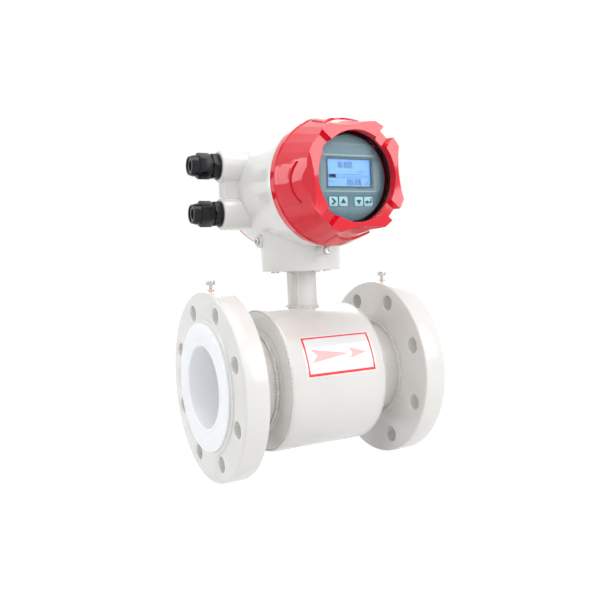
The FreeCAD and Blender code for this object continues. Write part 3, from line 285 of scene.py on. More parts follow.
enamel = finish("warm_white_enamel", (0.735, 0.722, 0.690), (0.765, 0.752, 0.722), 14, 0.22, relief=0.00003,
                grain=420, coat_weight=0.5, coat_roughness=0.12)
for node, edge in (("inlet_flange", 0.0008), ("outlet_flange", 0.0008), ("inlet_end_plate", 0.0004),
                   ("outlet_end_plate", 0.0004), ("housing_shell", 0.0003), ("measuring_tube", 0.0004)):
    softened(node, edge, enamel)

# ---------------------------------------------------------------- welds
# Steel beads laid by arc welding join the tube, the end plates, the housing and the flanges. Each bead
# is a ring of overlapping ripples under the enamel.


def weld_enamel(name, ripples, turn=(0, 0, 0)):
    """The enamel over a bead, whose ripples follow the angle about the bead's own X axis."""
    material = enamel.copy()
    material.name = name
    tree = material.node_tree
    about = tree.nodes.new("ShaderNodeMapping")
    about.vector_type = "TEXTURE"
    about.inputs["Rotation"].default_value = turn
    tree.links.new(tree.nodes["Texture Coordinate"].outputs["Object"], about.inputs["Vector"])
    apart = tree.nodes.new("ShaderNodeSeparateXYZ")
    tree.links.new(about.outputs["Vector"], apart.inputs["Vector"])
    angle = reckoned(tree, "ARCTAN2", apart.outputs["Y"], apart.outputs["Z"])
    wave = reckoned(tree, "SINE", reckoned(tree, "MULTIPLY", angle, ripples / 2))
    crest = reckoned(tree, "ABSOLUTE", wave)
    tree.links.new(bumped(tree, crest, 0.0009), tree.nodes["Principled BSDF"].inputs["Normal"])
    return material


def settled(piece):
    """Write a piece's place, turn and size into its mesh."""
    only(piece)
    bpy.ops.object.transform_apply(location=True, rotation=True, scale=True)


def lumpy(piece, grain, depth):
    """Work low lumps, about grain across, into the surface of a piece."""
    lumps = bpy.data.textures.new(piece.name + "_lumps", "CLOUDS")
    lumps.noise_scale = grain
    uneven = piece.modifiers.new("lumps", "DISPLACE")
    uneven.texture = lumps
    uneven.strength = depth
    only(piece)
    bpy.ops.object.modifier_apply(modifier="lumps")


def bead_ring(name, ring_radius, bead_radius, x, material):
    """A weld bead round the flow axis."""
    bpy.ops.mesh.primitive_torus_add(major_segments=220, minor_segments=10, major_radius=ring_radius,
                                     minor_radius=bead_radius, location=(x, 0, 0),
                                     rotation=(0, math.pi / 2, 0))
    bead = bpy.context.object
    settled(bead)
    lumpy(bead, 0.006, bead_radius * 0.5)
    bpy.ops.object.shade_smooth()
    return fixed(bead, name, "meter", material)


seam_weld = weld_enamel("seam_weld_enamel", 190)
tube_weld = weld_enamel("tube_weld_enamel", 120)
shell_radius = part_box("housing_shell")[1][2]
shell_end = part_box("inlet_end_plate")[0][0]
tube_toe = 0.0592
flange_back = -0.1008
for side_name, side in (("inlet", 1), ("outlet", -1)):
    bead_ring(side_name + "_seam_weld", shell_radius - 0.0022, 0.0012, side * (shell_end + 0.0052), seam_weld)
    bead_ring(side_name + "_plate_weld", tube_toe, 0.0021, side * (shell_end - 0.0008), tube_weld)
    bead_ring(side_name + "_flange_weld", tube_toe, 0.0024, side * flange_back, tube_weld)

# ---------------------------------------------------------------- flow label
# A clear-coated film on the front of the coil housing. A red frame and the two darts of the flow
# arrow are printed on it; the darts are painted paler than the frame, a painted highlight over the red print.
# The sheet is drawn flat, cut along its lines and laid round the housing.


def inside(x, y, corners):
    """Whether a point of the flat sheet lies in the shape with these corners."""
    crossings = 0
    for (ax, ay), (bx, by) in zip(corners, corners[1:] + corners[:1]):
        if (ay > y) != (by > y) and x < ax + (y - ay) / (by - ay) * (bx - ax):
            crossings += 1
    return crossings % 2 == 1


film = finish("label_film", (0.80, 0.80, 0.80), (0.83, 0.83, 0.83), 30, 0.15, coat_weight=0.6)
frame_ink = finish("red_frame_ink", (0.80, 0.035, 0.035), (0.86, 0.05, 0.045), 60, 0.22, relief=0.000004)
# Painted highlight: the darts' red is lightened to pink (0.90, 0.36, 0.36 against the frame's 0.80, 0.035,
# 0.035), for a highlight lying on the printed arrow.
arrow_ink_and_painted_highlight = finish("red_arrow_ink_with_painted_highlight", (0.90, 0.36, 0.36), (0.94, 0.42, 0.42), 60, 0.22, relief=0.000004)
outer = [(-0.0414, -0.02275), (0.0475, -0.02275), (0.0475, 0.02275), (-0.0414, 0.02275)]
inner = [(-0.0390, -0.01995), (0.0451, -0.01995), (0.0451, 0.02085), (-0.0390, 0.02085)]
tail = [(-0.0338, 0.00815), (0.0157, -0.00065), (-0.0349, -0.00805), (-0.0268, 0.00005)]
point = [(0.0164, 0.00635), (0.0399, -0.00115), (0.0154, -0.00685), (0.0198, -0.00105)]
bpy.ops.mesh.primitive_grid_add(x_subdivisions=46, y_subdivisions=48, size=1, location=(0.00305, 0, 0))
label = bpy.context.object
label.scale = (0.0921, 0.0487, 1)
settled(label)
for shape in (outer, inner, tail, point):
    for (ax, ay), (bx, by) in zip(shape, shape[1:] + shape[:1]):
        bpy.ops.object.mode_set(mode="EDIT")
        bpy.ops.mesh.select_all(action="SELECT")
        bpy.ops.mesh.bisect(plane_co=(ax, ay, 0), plane_no=Vector((by - ay, ax - bx, 0)).normalized(),
                            threshold=1e-7)
        bpy.ops.object.mode_set(mode="OBJECT")
for coat in (film, frame_ink, arrow_ink_and_painted_highlight):
    label.data.materials.append(coat)
for face in label.data.polygons:
    x, y = face.center[:2]
    if inside(x, y, tail) or inside(x, y, point):
        face.material_index = 2
    elif inside(x, y, outer) and not inside(x, y, inner):
        face.material_index = 1
label_rise = 0.03475 / shell_radius
up, forward = math.sin(label_rise), math.cos(label_rise)
clear_radius = shell_radius + 0.002
label.data.transform(Matrix(((1, 0, 0, 0),
                             (0, up, -forward, -forward * clear_radius),
                             (0, forward, up, up * clear_radius),
                             (0, 0, 0, 1))))
bpy.ops.mesh.primitive_cylinder_add(vertices=720, radius=shell_radius + 0.0001, depth=0.11,
                                    rotation=(0, math.pi / 2, 0))
drum = bpy.context.object
wrap = label.modifiers.new("wrap", "SHRINKWRAP")
wrap.target = drum
wrap.wrap_method = "PROJECT"
wrap.use_negative_direction = True
film_depth = label.modifiers.new("film_depth", "SOLIDIFY")
film_depth.thickness = 0.00006
only(label)
bpy.ops.object.modifier_apply(modifier="wrap")
bpy.ops.object.modifier_apply(modifier="film_depth")
bpy.ops.object.shade_smooth_by_angle(angle=math.radians(30))
only(drum)
bpy.ops.object.delete()
label.name = "flow_label"
label.data.name = "flow_label"
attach(label, "meter")

# ---------------------------------------------------------------- lining
# One moulding of white fluoropolymer in the tube, its rims folded over the raised faces. It is waxy
# rather than glossy, and a little light enters it.

fluoropolymer = finish("fluoropolymer", (0.93, 0.94, 0.965), (0.96, 0.965, 0.98), 30, 0.38, relief=0.00002,
                       grain=250, subsurface_weight=0.2, subsurface_scale=0.004)
softened("liner", 0.0003, fluoropolymer)
softened("inlet_liner_rim", 0.0005, fluoropolymer)
softened("outlet_liner_rim", 0.0005, fluoropolymer)

# ---------------------------------------------------------------- neck and head casting
# A steel neck rolled with one upright seam is welded into the housing. The head is an aluminium
# pressure casting, enamelled like the rest, with the cable entries on the inlet side.

for node, edge, steps in (("neck_tube", 0.0003, 2), ("neck_flange", 0.0004, 2), ("head_body", 0.0011, 3)):
    softened(node, edge, enamel, steps)
neck_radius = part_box("neck_tube")[1][0]
seam_side = math.radians(44.2)
seam_length, seam_middle = 0.0405, 0.1070
seam_foot, seam_step, seam_steps = 0.0870, 0.00068, 60
bpy.ops.mesh.primitive_cylinder_add(vertices=16, radius=0.0013, depth=seam_length,
                                    location=(-neck_radius * math.sin(seam_side),
                                              -neck_radius * math.cos(seam_side), seam_middle))
neck_seam = bpy.context.object
settled(neck_seam)
bpy.ops.object.mode_set(mode="EDIT")
for step in range(seam_steps):
    bpy.ops.mesh.select_all(action="SELECT")
    bpy.ops.mesh.bisect(plane_co=(0, 0, seam_foot + step * seam_step), plane_no=(0, 0, 1))
bpy.ops.object.mode_set(mode="OBJECT")
lumpy(neck_seam, 0.003, 0.0006)
bpy.ops.object.shade_smooth_by_angle(angle=math.radians(50))
fixed(neck_seam, "neck_seam_weld", "meter", enamel)

bpy.ops.mesh.primitive_torus_add(major_segments=120, minor_segments=12, major_radius=neck_radius + 0.0004,
                                 minor_radius=0.0024, location=(0, 0, 0))
neck_weld = bpy.context.object
settled(neck_weld)
for corner in neck_weld.data.vertices:
    corner.co.z += math.sqrt(shell_radius ** 2 - corner.co.y ** 2)
lumpy(neck_weld, 0.005, 0.0014)
bpy.ops.object.shade_smooth()
fixed(neck_weld, "neck_base_weld", "meter",
      weld_enamel("neck_weld_enamel", 46, turn=(0, math.pi / 2, 0)))

# ---------------------------------------------------------------- covers
# Both covers are aluminium castings with four grip lobes, sprayed in a crimson gloss whose surface
# waves a little. Between each two lobes the front cover's skirt carries a raised pad with a crescent
# in front.


def trimmed(piece, tool, operation="INTERSECT"):
    """Keep of a piece what lies in a tool, or what lies outside it, and throw the tool away."""
    cut = piece.modifiers.new("cut", "BOOLEAN")
    cut.operation = operation
    cut.object = tool
    cut.solver = "EXACT"
    only(piece)
    bpy.ops.object.modifier_apply(modifier="cut")
    only(tool)
    bpy.ops.object.delete()


crimson = finish("crimson_gloss", (0.68, 0.003, 0.018), (0.74, 0.004, 0.024), 25, 0.10, relief=0.00002,
                 grain=380, specular_ior_level=0.25, coat_weight=0.9, coat_roughness=0.04, coat_ior=1.36)
tree = crimson.node_tree
waves = tree.nodes.new("ShaderNodeTexNoise")
waves.inputs["Scale"].default_value = 16
waves.inputs["Detail"].default_value = 0
tree.links.new(tree.nodes["Texture Coordinate"].outputs["Object"], waves.inputs["Vector"])
swell = bumped(tree, waves.outputs["Fac"], 0.003)
tree.links.new(swell, tree.nodes["Bump"].inputs["Normal"])
tree.links.new(swell, tree.nodes["Principled BSDF"].inputs["Coat Normal"])
softened("front_cover", 0.0007, crimson, steps=3, sharp=4.4)
softened("rear_cover", 0.0007, crimson, steps=3, sharp=4.4)

cover_low, cover_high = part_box("front_cover")
axis_height = (cover_low[2] + cover_high[2]) / 2
cover_turn = 4.7
skirt_front, skirt_back, skirt_inside = cover_low[1] + 0.008, -0.0790, 0.059
pad_size, pad_corner, pad_reach, pad_middle = (0.036, 0.0345, 0.043), 0.003, 0.070, -0.1000
crescent_radius, crescent_middle = 0.030, -0.1330
pads = merged("front_cover")
bpy.ops.object.mode_set(mode="EDIT")
bpy.ops.mesh.select_mode(type="FACE")
bpy.ops.mesh.select_all(action="DESELECT")
bpy.ops.object.mode_set(mode="OBJECT")
for face in pads.data.polygons:
    x, y, z = face.center
    reach = math.hypot(x, z - axis_height)
    outward = (face.normal.x * x + face.normal.z * (z - axis_height)) / reach
    face.select = not (skirt_front < y < skirt_back and reach > skirt_inside and outward > 0.85
                       and -0.34 < face.normal.y < -0.12)
bpy.ops.object.mode_set(mode="EDIT")
bpy.ops.mesh.delete(type="FACE")
bpy.ops.mesh.select_mode(type="VERT")
bpy.ops.object.mode_set(mode="OBJECT")
plate = pads.modifiers.new("plate", "SOLIDIFY")
plate.thickness = 0.0022
plate.offset = 0.4
only(pads)
bpy.ops.object.modifier_apply(modifier="plate")
shapes = []
for quarter in range(4):
    turn = math.radians(cover_turn + quarter * 90)
    out_x, out_z = pad_reach * math.cos(turn), axis_height + pad_reach * math.sin(turn)
    bpy.ops.mesh.primitive_cube_add(size=1)
    block = bpy.context.object
    block.scale = pad_size
    settled(block)
    bpy.ops.object.mode_set(mode="EDIT")
    bpy.ops.mesh.select_all(action="SELECT")
    bpy.ops.mesh.bevel(offset=pad_corner, segments=3)
    bpy.ops.object.mode_set(mode="OBJECT")
    block.rotation_euler = (0, -turn, 0)
    block.location = (out_x, pad_middle, out_z)
    settled(block)
    bpy.ops.mesh.primitive_cylinder_add(vertices=120, radius=crescent_radius, depth=0.06,
                                        location=(out_x, crescent_middle, out_z),
                                        rotation=(0, math.pi / 2 - turn, 0))
    bite = bpy.context.object
    settled(bite)
    trimmed(block, bite, "DIFFERENCE")
    shapes.append(block)
only(*shapes)
bpy.ops.object.join()
trimmed(pads, shapes[0])
rounded(pads, 0.0004, steps=2, sharp=25)
fixed(pads, "front_cover_pads", frame["nodes"]["front_cover"]["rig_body"], crimson)

# ---------------------------------------------------------------- display panel
# A slate plastic panel. Round its window lies a raised dark frame, beside it fine horizontal ribs, and
# above and below pale printed lines.


def plaque(x, z, width, height, front, proud, corner, rim=0, turn=0, sides=4):
    """A thin raised shape facing -Y, solid or with only a rim, that stands proud of front."""
    if sides == 4:
        bpy.ops.mesh.primitive_plane_add(size=1, location=(x, front + 0.0001, z),
                                         rotation=(math.pi / 2, turn, 0))
    else:
        bpy.ops.mesh.primitive_circle_add(vertices=sides, radius=0.5, fill_type="NGON",
                                          location=(x, front + 0.0001, z), rotation=(math.pi / 2, turn, 0))
    shape = bpy.context.object
    shape.scale = (width, height, 1)
    settled(shape)
    bpy.ops.object.mode_set(mode="EDIT")
    bpy.ops.mesh.select_all(action="SELECT")
    bpy.ops.mesh.bevel(offset=corner, segments=3, affect="VERTICES")
    if rim:
        bpy.ops.mesh.select_all(action="SELECT")
        bpy.ops.mesh.inset(thickness=rim)
        bpy.ops.mesh.delete(type="FACE")
    bpy.ops.mesh.select_all(action="SELECT")
    bpy.ops.mesh.extrude_region_move(TRANSFORM_OT_translate={"value": (0, -proud - 0.0001, 0)})
    bpy.ops.mesh.select_all(action="SELECT")
    bpy.ops.mesh.normals_make_consistent(inside=False)
    bpy.ops.object.mode_set(mode="OBJECT")
    return shape


def joined(name, shapes, body, material):
    """One piece made of several shapes."""
    only(*shapes)
    if len(shapes) > 1:
        bpy.ops.object.join()
    bpy.ops.object.shade_smooth_by_angle(angle=math.radians(30))
    return fixed(shapes[0], name, body, material)


panel_slate = finish("panel_slate", (0.135, 0.225, 0.262), (0.150, 0.242, 0.282), 40, 0.42, relief=0.00001,
                     grain=2500)
frame_slate = finish("dark_frame_slate", (0.030, 0.052, 0.062), (0.040, 0.064, 0.075), 60, 0.35,
                     relief=0.00001, grain=2500)
rib_slate = finish("rib_slate", (0.28, 0.40, 0.44), (0.32, 0.44, 0.48), 60, 0.4, relief=0.00001, grain=2500)
pale_print = finish("pale_print", (0.42, 0.56, 0.60), (0.48, 0.61, 0.65), 90, 0.5)
softened("display_panel", 0.0002, panel_slate)
softened("display_housing", 0.0003, frame_slate)
panel_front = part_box("display_panel")[0][1]
window_x, window_z = 0.0008, axis_height + 0.0056
window_width, window_height = 0.055, 0.029
print_depth, rib_height, rib_pitch = 0.00005, 0.0008, 0.00165
joined("window_frame", [plaque(window_x, window_z, 0.0592, 0.0334, panel_front, 0.0004, 0.0016, rim=0.0019)],
       "meter", frame_slate)
for side_name, x, width, count in (("left", -0.0330, 0.0058, 18), ("right", 0.0358, 0.0086, 19)):
    rib = plaque(x, axis_height - 0.0120, width, rib_height, panel_front, 0.0003, 0.0002)
    comb = rib.modifiers.new("comb", "ARRAY")
    comb.count = count
    comb.use_relative_offset = False
    comb.use_constant_offset = True
    comb.constant_offset_displace = (0, 0, rib_pitch)
    only(rib)
    bpy.ops.object.modifier_apply(modifier="comb")
    joined(side_name + "_ribs", [rib], "meter", rib_slate)
joined("panel_lines", [
    plaque(0.0013, axis_height + 0.0360, 0.0460, 0.0005, panel_front, print_depth, 0.0002),
    plaque(0.0012, axis_height + 0.0243, 0.0660, 0.0009, panel_front, print_depth, 0.0002),
    plaque(0.0010, axis_height - 0.0143, 0.0700, 0.0009, panel_front, print_depth, 0.0002),
], "meter", pale_print)

# ---------------------------------------------------------------- screen
# A backlit liquid crystal of 128 by 64 cells. It shows the flow rate, a bar for the part of full
# scale, and the total. Each dark cell is a square of its own with a hairline gap round it.

LETTERS = {
    "8": "01110 10001 10001 01110 10001 10001 01110", "0": "01110 10001 10001 10001 10001 10001 01110",
    "2": "01110 10001 00001 00110 01000 10000 11111", "1": "00100 01100 00100 00100 00100 00100 01110",
    "7": "11111 00001 00010 00100 01000 01000 01000", "6": "01110 10000 10000 11110 10001 10001 01110",
    "m": "00000 00000 11010 10101 10101 10101 10101", "h": "10000 10000 10110 11001 10001 10001 10001",
    "/": "00001 00001 00010 00100 01000 10000 10000", ".": "0 0 0 0 0 0 1",
    "total": "11111 10000 01000 00100 01000 10000 11111", "+": "00000 00100 00100 11111 00100 00100 00000",
    "cubed": "111 001 011 001 111", "small 2": "111 001 111 100 111", "small 0": "111 101 101 101 111",
    "small %": "101 001 010 100 101",
}
dark = set()
for letter, column, row, wide, tall in (
    ("8", 33, 6, 2, 2), (".", 46, 6, 2, 2), ("0", 51, 6, 2, 2), ("2", 64, 6, 2, 2),
    ("m", 92, 25, 1, 1), ("cubed", 98, 24, 1, 1), ("/", 103, 25, 1, 1), ("h", 110, 25, 1, 1),
    ("small 2", 108, 38, 1, 1), ("small 0", 113, 38, 1, 1), ("small %", 118, 38, 1, 1),
    ("total", 7, 50, 1, 1), ("+", 15, 50, 1, 1),
    ("1", 57, 47, 1, 2), ("0", 64, 47, 1, 2), ("1", 71, 47, 1, 2), (".", 78, 47, 1, 2), ("0", 81, 47, 1, 2),
    ("7", 88, 47, 1, 2), ("6", 95, 47, 1, 2), ("m", 112, 54, 1, 1), ("cubed", 118, 53, 1, 1),
):
    for down, line in enumerate(LETTERS[letter].split()):
        for across, cell in enumerate(line):
            if cell == "1":
                dark |= {(column + across * wide + i, row + down * tall + j)
                         for i in range(wide + (tall > 1)) for j in range(tall)}
dark |= {(column, row) for column in range(5, 104) for row in (35, 43)}
dark |= {(column, row) for column in (5, 103) for row in range(35, 44)}
dark |= {(column, row) for column in range(5, 26) for row in range(35, 44)}
dark |= {(column, 39) for column in range(28, 102) if column % 10 > 3}

lit_cell = finish("lit_screen", (0.200, 0.430, 0.900), (0.220, 0.460, 0.940), 20, 0.35,
                  emission_color=(0.14, 0.34, 0.78, 1), emission_strength=0.30)
dark_cell = finish("dark_cells", (0.001, 0.002, 0.030), (0.002, 0.004, 0.045), 60, 0.5,
                   specular_ior_level=0.0)
softened("lcd_module", 0.0003, lit_cell)
screen_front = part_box("lcd_module")[0][1]
columns, rows = 128, 64
bpy.ops.mesh.primitive_grid_add(x_subdivisions=columns, y_subdivisions=rows, size=1,
                                rotation=(math.pi / 2, 0, 0),
                                location=(window_x, screen_front - 0.0001, window_z))
screen = bpy.context.object
screen.scale = (window_width, window_height, 1)
settled(screen)
screen.data.materials.append(lit_cell)
screen.data.materials.append(dark_cell)
bpy.ops.object.mode_set(mode="EDIT")
bpy.ops.mesh.select_mode(type="FACE")
bpy.ops.mesh.select_all(action="DESELECT")
bpy.ops.object.mode_set(mode="OBJECT")
for face in screen.data.polygons:
    column = int(((face.center[0] - window_x) / window_width + 0.5) * columns)
    row = int((0.5 - (face.center[2] - window_z) / window_height) * rows)
    face.select = (column, row) in dark
screen.active_material_index = 1
bpy.ops.object.mode_set(mode="EDIT")
bpy.ops.mesh.inset(thickness=0.000008, use_individual=True)
bpy.ops.object.material_slot_assign()
bpy.ops.mesh.select_mode(type="VERT")
bpy.ops.object.mode_set(mode="OBJECT")
screen.name = "screen_cells"
screen.data.name = "screen_cells"
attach(screen, "meter")

# ---------------------------------------------------------------- keys
# Four pale keys moulded in a soft plastic, each with its sign printed on it. A pressed key stops a
# hair above the board, where its switch is.

key_cyan = finish("key_cyan", (0.46, 0.72, 0.78), (0.52, 0.77, 0.83), 60, 0.4, relief=0.00001, grain=2000)
sign_ink = finish("sign_ink", (0.020, 0.035, 0.045), (0.030, 0.048, 0.058), 60, 0.45)
switch_gap = 0.00008
for key in ("shift", "up", "down", "enter"):
    low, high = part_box("key_" + key)
    cap = merged("key_" + key)
    bpy.ops.object.mode_set(mode="EDIT")
    bpy.ops.mesh.select_all(action="DESELECT")
    bpy.ops.object.mode_set(mode="OBJECT")
    for corner in cap.data.vertices:
        corner.select = corner.co.y > high[1] - 0.00001
    bpy.ops.object.mode_set(mode="EDIT")
    bpy.ops.transform.translate(value=(0, -switch_gap, 0))
    bpy.ops.object.mode_set(mode="OBJECT")
    stands_in(cap, "key_" + key, 0.0005, key_cyan, steps=3)
    x, z, front = (low[0] + high[0]) / 2, (low[2] + high[2]) / 2, low[1]
    if key == "shift":
        signs = [plaque(x + 0.0004, z + side * 0.0015, 0.0054, 0.0019, front, print_depth, 0.0002,
                        turn=side * math.radians(38)) for side in (1, -1)]
    elif key == "enter":
        signs = [plaque(x + 0.0010, z - 0.0006, 0.0062, 0.0014, front, print_depth, 0.0002),
                 plaque(x + 0.0034, z + 0.0012, 0.0014, 0.0048, front, print_depth, 0.0002),
                 plaque(x - 0.0022, z - 0.0006, 0.0052, 0.0052, front, print_depth, 0.0001,
                        turn=math.radians(-90), sides=3)]
    else:
        signs = [plaque(x, z, 0.0078, 0.0070, front, print_depth, 0.0002, sides=3,
                        turn=0 if key == "up" else math.pi)]
    joined("key_" + key + "_sign", signs, "key_" + key, sign_ink)

# ---------------------------------------------------------------- cable glands
# Moulded black nylon: a collar with six flats, a domed hexagon nut with turned corners, a rubber
# washer, and in the mouth a pale rubber seal whose middle is painted near black as painted shade in the
# mouth.

black_nylon = finish("black_nylon", (0.004, 0.004, 0.006), (0.008, 0.008, 0.011), 60, 0.24, relief=0.00002,
                     grain=1500, specular_ior_level=0.3)
black_rubber = finish("black_rubber", (0.015, 0.015, 0.015), (0.025, 0.025, 0.025), 60, 0.6,
                      relief=0.00002, grain=1200)
nut_corner, body_corner, mouth_shade_radius = 0.01555, 0.0164, 0.0070
hexagon_length, corner_taper = 0.0094, 0.885
for level in ("upper", "lower"):
    low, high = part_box(level + "_gland_nut")
    y, z = (low[1] + high[1]) / 2, (low[2] + high[2]) / 2
    hexagon_end = low[0] + hexagon_length

    nut = merged(level + "_gland_nut")
    bpy.ops.mesh.primitive_cylinder_add(vertices=96, radius=nut_corner, depth=high[0] - low[0] + 0.002,
                                        location=((low[0] + high[0]) / 2, y, z),
                                        rotation=(0, math.pi / 2, 0))
    tool = bpy.context.object
    settled(tool)
    for x in (hexagon_end, hexagon_end + 0.0012, high[0] - 0.0022, high[0]):
        bpy.ops.object.mode_set(mode="EDIT")
        bpy.ops.mesh.select_all(action="SELECT")
        bpy.ops.mesh.bisect(plane_co=(x, 0, 0), plane_no=(1, 0, 0))
        bpy.ops.object.mode_set(mode="OBJECT")
    for corner in tool.data.vertices:
        corner.select = corner.co.x < hexagon_end + 0.0001 or corner.co.x > high[0] - 0.0001
    bpy.ops.object.mode_set(mode="EDIT")
    bpy.ops.transform.resize(value=(1, corner_taper, corner_taper),
                             center_override=((low[0] + high[0]) / 2, y, z))
    bpy.ops.object.mode_set(mode="OBJECT")
    trimmed(nut, tool)
    stands_in(nut, level + "_gland_nut", 0.0003, black_nylon, steps=2, sharp=24)

    body = merged(level + "_gland_body")
    body_low, body_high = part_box(level + "_gland_body")
    bpy.ops.mesh.primitive_cylinder_add(vertices=6, radius=body_corner,
                                        depth=body_high[0] - body_low[0] + 0.004,
                                        location=((body_low[0] + body_high[0]) / 2, y, z),
                                        rotation=(0, math.pi / 2, 0))
    tool = bpy.context.object
    settled(tool)
    trimmed(body, tool)
    stands_in(body, level + "_gland_body", 0.0006, black_nylon, steps=2, sharp=24)
    softened(level + "_gland_washer", 0.0003, black_rubber)

    shade_painted = finish(level + "_two_shot_seal", (0.50, 0.49, 0.47), (0.58, 0.57, 0.55), 60, 0.5,
                      relief=0.00001, grain=1500)
    nodes, links = shade_painted.node_tree.nodes, shade_painted.node_tree.links
    from_axis = nodes.new("ShaderNodeVectorMath")
    from_axis.operation = "SUBTRACT"
    from_axis.inputs[1].default_value = (0, y, z)
    links.new(nodes["Texture Coordinate"].outputs["Object"], from_axis.inputs[0])
    across = nodes.new("ShaderNodeVectorMath")
    across.operation = "MULTIPLY"
    across.inputs[1].default_value = (0, 1, 1)
    links.new(from_axis.outputs[0], across.inputs[0])
    reach = nodes.new("ShaderNodeVectorMath")
    reach.operation = "LENGTH"
    links.new(across.outputs[0], reach.inputs[0])
    # Painted shade: near the gland's axis the seal's colour is set near black (0.012), for the shade inside
    # the gland's mouth; further out it keeps its pale rubber colour.
    pale = reckoned(shade_painted.node_tree, "GREATER_THAN", reach.outputs["Value"], mouth_shade_radius)
    mouth_shade_mix = nodes.new("ShaderNodeMix")
    mouth_shade_mix.data_type = "RGBA"
    links.new(pale, mouth_shade_mix.inputs["Factor"])
    mouth_shade_mix.inputs[6].default_value = (0.012, 0.012, 0.013, 1)
    links.new(nodes["Color Ramp"].outputs["Color"], mouth_shade_mix.inputs[7])
    links.new(mouth_shade_mix.outputs[2], nodes["Principled BSDF"].inputs["Base Color"])
    softened(level + "_gland_seal", 0.0004, shade_painted)

# ---------------------------------------------------------------- screws and washers
# Plated steel socket screws lock the front cover, hold the head down on its neck and earth it. Two more
# earth the flanges, each over a turned brass washer.

steel = finish("plated_steel", (0.50, 0.49, 0.47), (0.62, 0.61, 0.59), 160, 0.26, relief=0.000008, grain=900,
               metallic=1.0)
brass = finish("brass", (0.70, 0.46, 0.34), (0.80, 0.56, 0.42), 120, 0.3, relief=0.000008, metallic=1.0)
for node in ("cover_lock_screw", "head_earth_screw", "head_base_screws", "inlet_earth_screw",
             "outlet_earth_screw"):
    softened(node, 0.0003, steel)
softened("inlet_earth_washer", 0.0002, brass)
softened("outlet_earth_washer", 0.0002, brass)

# ---------------------------------------------------------------- seals and window fixings
# Black rubber rings seal the covers, the foot and the glass. A zinc-plated ring with a dull passivated
# surface holds the glass in the front cover, and black sealing compound fills the neck round the leads.

for node in ("front_seal", "rear_seal", "glass_gasket", "head_gasket"):
    softened(node, 0.0003, black_rubber)
dull_zinc = finish("dull_zinc", (0.30, 0.30, 0.29), (0.42, 0.42, 0.40), 90, 0.42, relief=0.000015, grain=1400,
                   metallic=1.0)
softened("glass_retaining_ring", 0.0002, dull_zinc)
compound = finish("sealing_compound", (0.010, 0.010, 0.011), (0.018, 0.018, 0.020), 45, 0.22, relief=0.00025,
                  grain=60)
softened("neck_plug", 0.0008, compound)

# ---------------------------------------------------------------- magnet
# Two coils of enamelled copper wire on soft iron pole shoes lie above and below the tube. A rolled
# iron strip with dark mill scale carries the field back round it.


def striped(material, spacing, depth, direction, distortion=0.0):
    """Add fine parallel ridges to a finish, spacing apart along an axis of the meter."""
    nodes, links = material.node_tree.nodes, material.node_tree.links
    ridges = nodes.new("ShaderNodeTexWave")
    ridges.bands_direction = direction
    ridges.inputs["Scale"].default_value = 2 * math.pi / (20 * spacing)
    ridges.inputs["Distortion"].default_value = distortion
    links.new(nodes["Texture Coordinate"].outputs["Object"], ridges.inputs["Vector"])
    normal = bumped(material.node_tree, ridges.outputs["Fac"], depth)
    links.new(normal, nodes["Principled BSDF"].inputs["Normal"])
    return ridges


mill_scale = finish("mill_scale_iron", (0.060, 0.062, 0.070), (0.120, 0.115, 0.115), 70, 0.45, spread=0.12,
                    relief=0.00006, grain=500, metallic=0.8)
wound_copper = finish("wound_copper", (0.50, 0.17, 0.07), (0.64, 0.25, 0.11), 60, 0.30, metallic=1.0,
                      coat_weight=0.6)
striped(wound_copper, 0.0008, 0.0003, "Z")
for node, edge, material in (("return_yoke", 0.0006, mill_scale), ("upper_pole_shoe", 0.0006, mill_scale),
                             ("lower_pole_shoe", 0.0006, mill_scale), ("upper_coil", 0.0015, wound_copper),
                             ("lower_coil", 0.0015, wound_copper)):
    softened(node, edge, material, steps=3)

# ---------------------------------------------------------------- electrodes
# Two polished stainless steel pins touch the liquid through the lining. Each passes through a natural
# nylon bush in the tube wall and is held by a plated nut.

polished_steel = finish("polished_stainless", (0.58, 0.57, 0.55), (0.68, 0.67, 0.65), 160, 0.14, metallic=1.0)
natural_nylon = finish("natural_nylon", (0.72, 0.70, 0.62), (0.80, 0.78, 0.70), 60, 0.40, relief=0.00001,
                       grain=900, subsurface_weight=0.1, subsurface_scale=0.002)
for node, material in (("front_electrode", polished_steel), ("rear_electrode", polished_steel),
                       ("electrode_bushes", natural_nylon), ("electrode_nuts", steel)):
    softened(node, 0.0003, material)

# ---------------------------------------------------------------- boards and terminals
# Green glass-fibre boards with tracks under the solder mask stand on plated pillars. The terminals in
# the rear chamber are a black moulded block with plated screws.

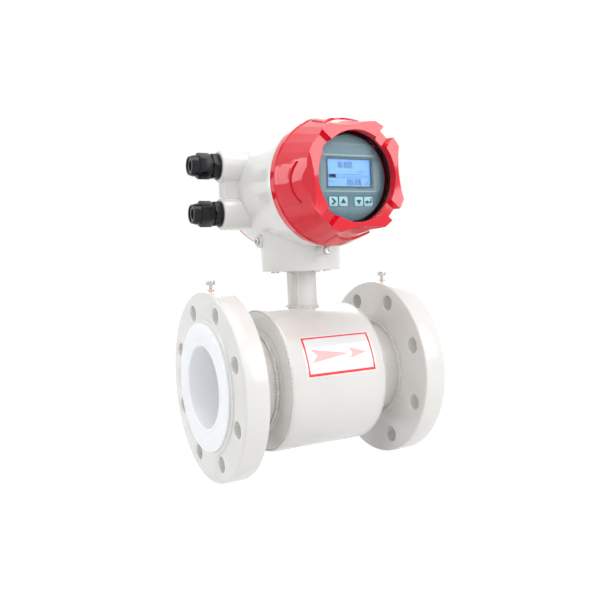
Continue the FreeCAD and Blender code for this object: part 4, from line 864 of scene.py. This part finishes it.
solder_mask = finish("solder_mask_green", (0.010, 0.085, 0.032), (0.018, 0.120, 0.048), 60, 0.30,
                     coat_weight=0.5)
tracks = striped(solder_mask, 0.0024, 0.00004, "X", distortion=9)
nodes, links = solder_mask.node_tree.nodes, solder_mask.node_tree.links
over_copper = nodes.new("ShaderNodeMix")
over_copper.data_type = "RGBA"
over_copper.inputs[7].default_value = (0.045, 0.200, 0.080, 1)
on_track = reckoned(solder_mask.node_tree, "GREATER_THAN", tracks.outputs["Fac"], 0.6)
links.new(on_track, over_copper.inputs["Factor"])
links.new(nodes["Color Ramp"].outputs["Color"], over_copper.inputs[6])
links.new(over_copper.outputs[2], nodes["Principled BSDF"].inputs["Base Color"])
block_black = finish("terminal_black", (0.012, 0.012, 0.013), (0.020, 0.020, 0.022), 60, 0.38, relief=0.00001,
                     grain=1800)
for node, edge, material in (("main_board", 0.0001, solder_mask), ("power_board", 0.0001, solder_mask),
                             ("display_board", 0.0001, solder_mask), ("board_pillars", 0.0002, steel),
                             ("terminal_block", 0.0004, block_black), ("terminal_screws", 0.0002, steel)):
    softened(node, edge, material)

# ---------------------------------------------------------------- window
# A disc of toughened glass, clear with a faint gloss. The retaining ring holds it on its gasket behind
# the lip of the front cover.

glass = bpy.data.materials.new("window_glass")
glass.use_nodes = True
nodes, links = glass.node_tree.nodes, glass.node_tree.links
nodes.remove(nodes["Principled BSDF"])
clear = nodes.new("ShaderNodeBsdfTransparent")
clear.inputs["Color"].default_value = (0.95, 0.985, 0.99, 1)
shine = nodes.new("ShaderNodeBsdfGlossy")
shine.inputs["Roughness"].default_value = 0.03
edge_on = nodes.new("ShaderNodeFresnel")
edge_on.inputs["IOR"].default_value = 1.13
pane = nodes.new("ShaderNodeMixShader")
links.new(edge_on.outputs[0], pane.inputs[0])
links.new(clear.outputs[0], pane.inputs[1])
links.new(shine.outputs[0], pane.inputs[2])
links.new(pane.outputs[0], nodes["Material Output"].inputs["Surface"])
frame["nodes"]["window_glass"].data.materials.clear()
frame["nodes"]["window_glass"].data.materials.append(glass)
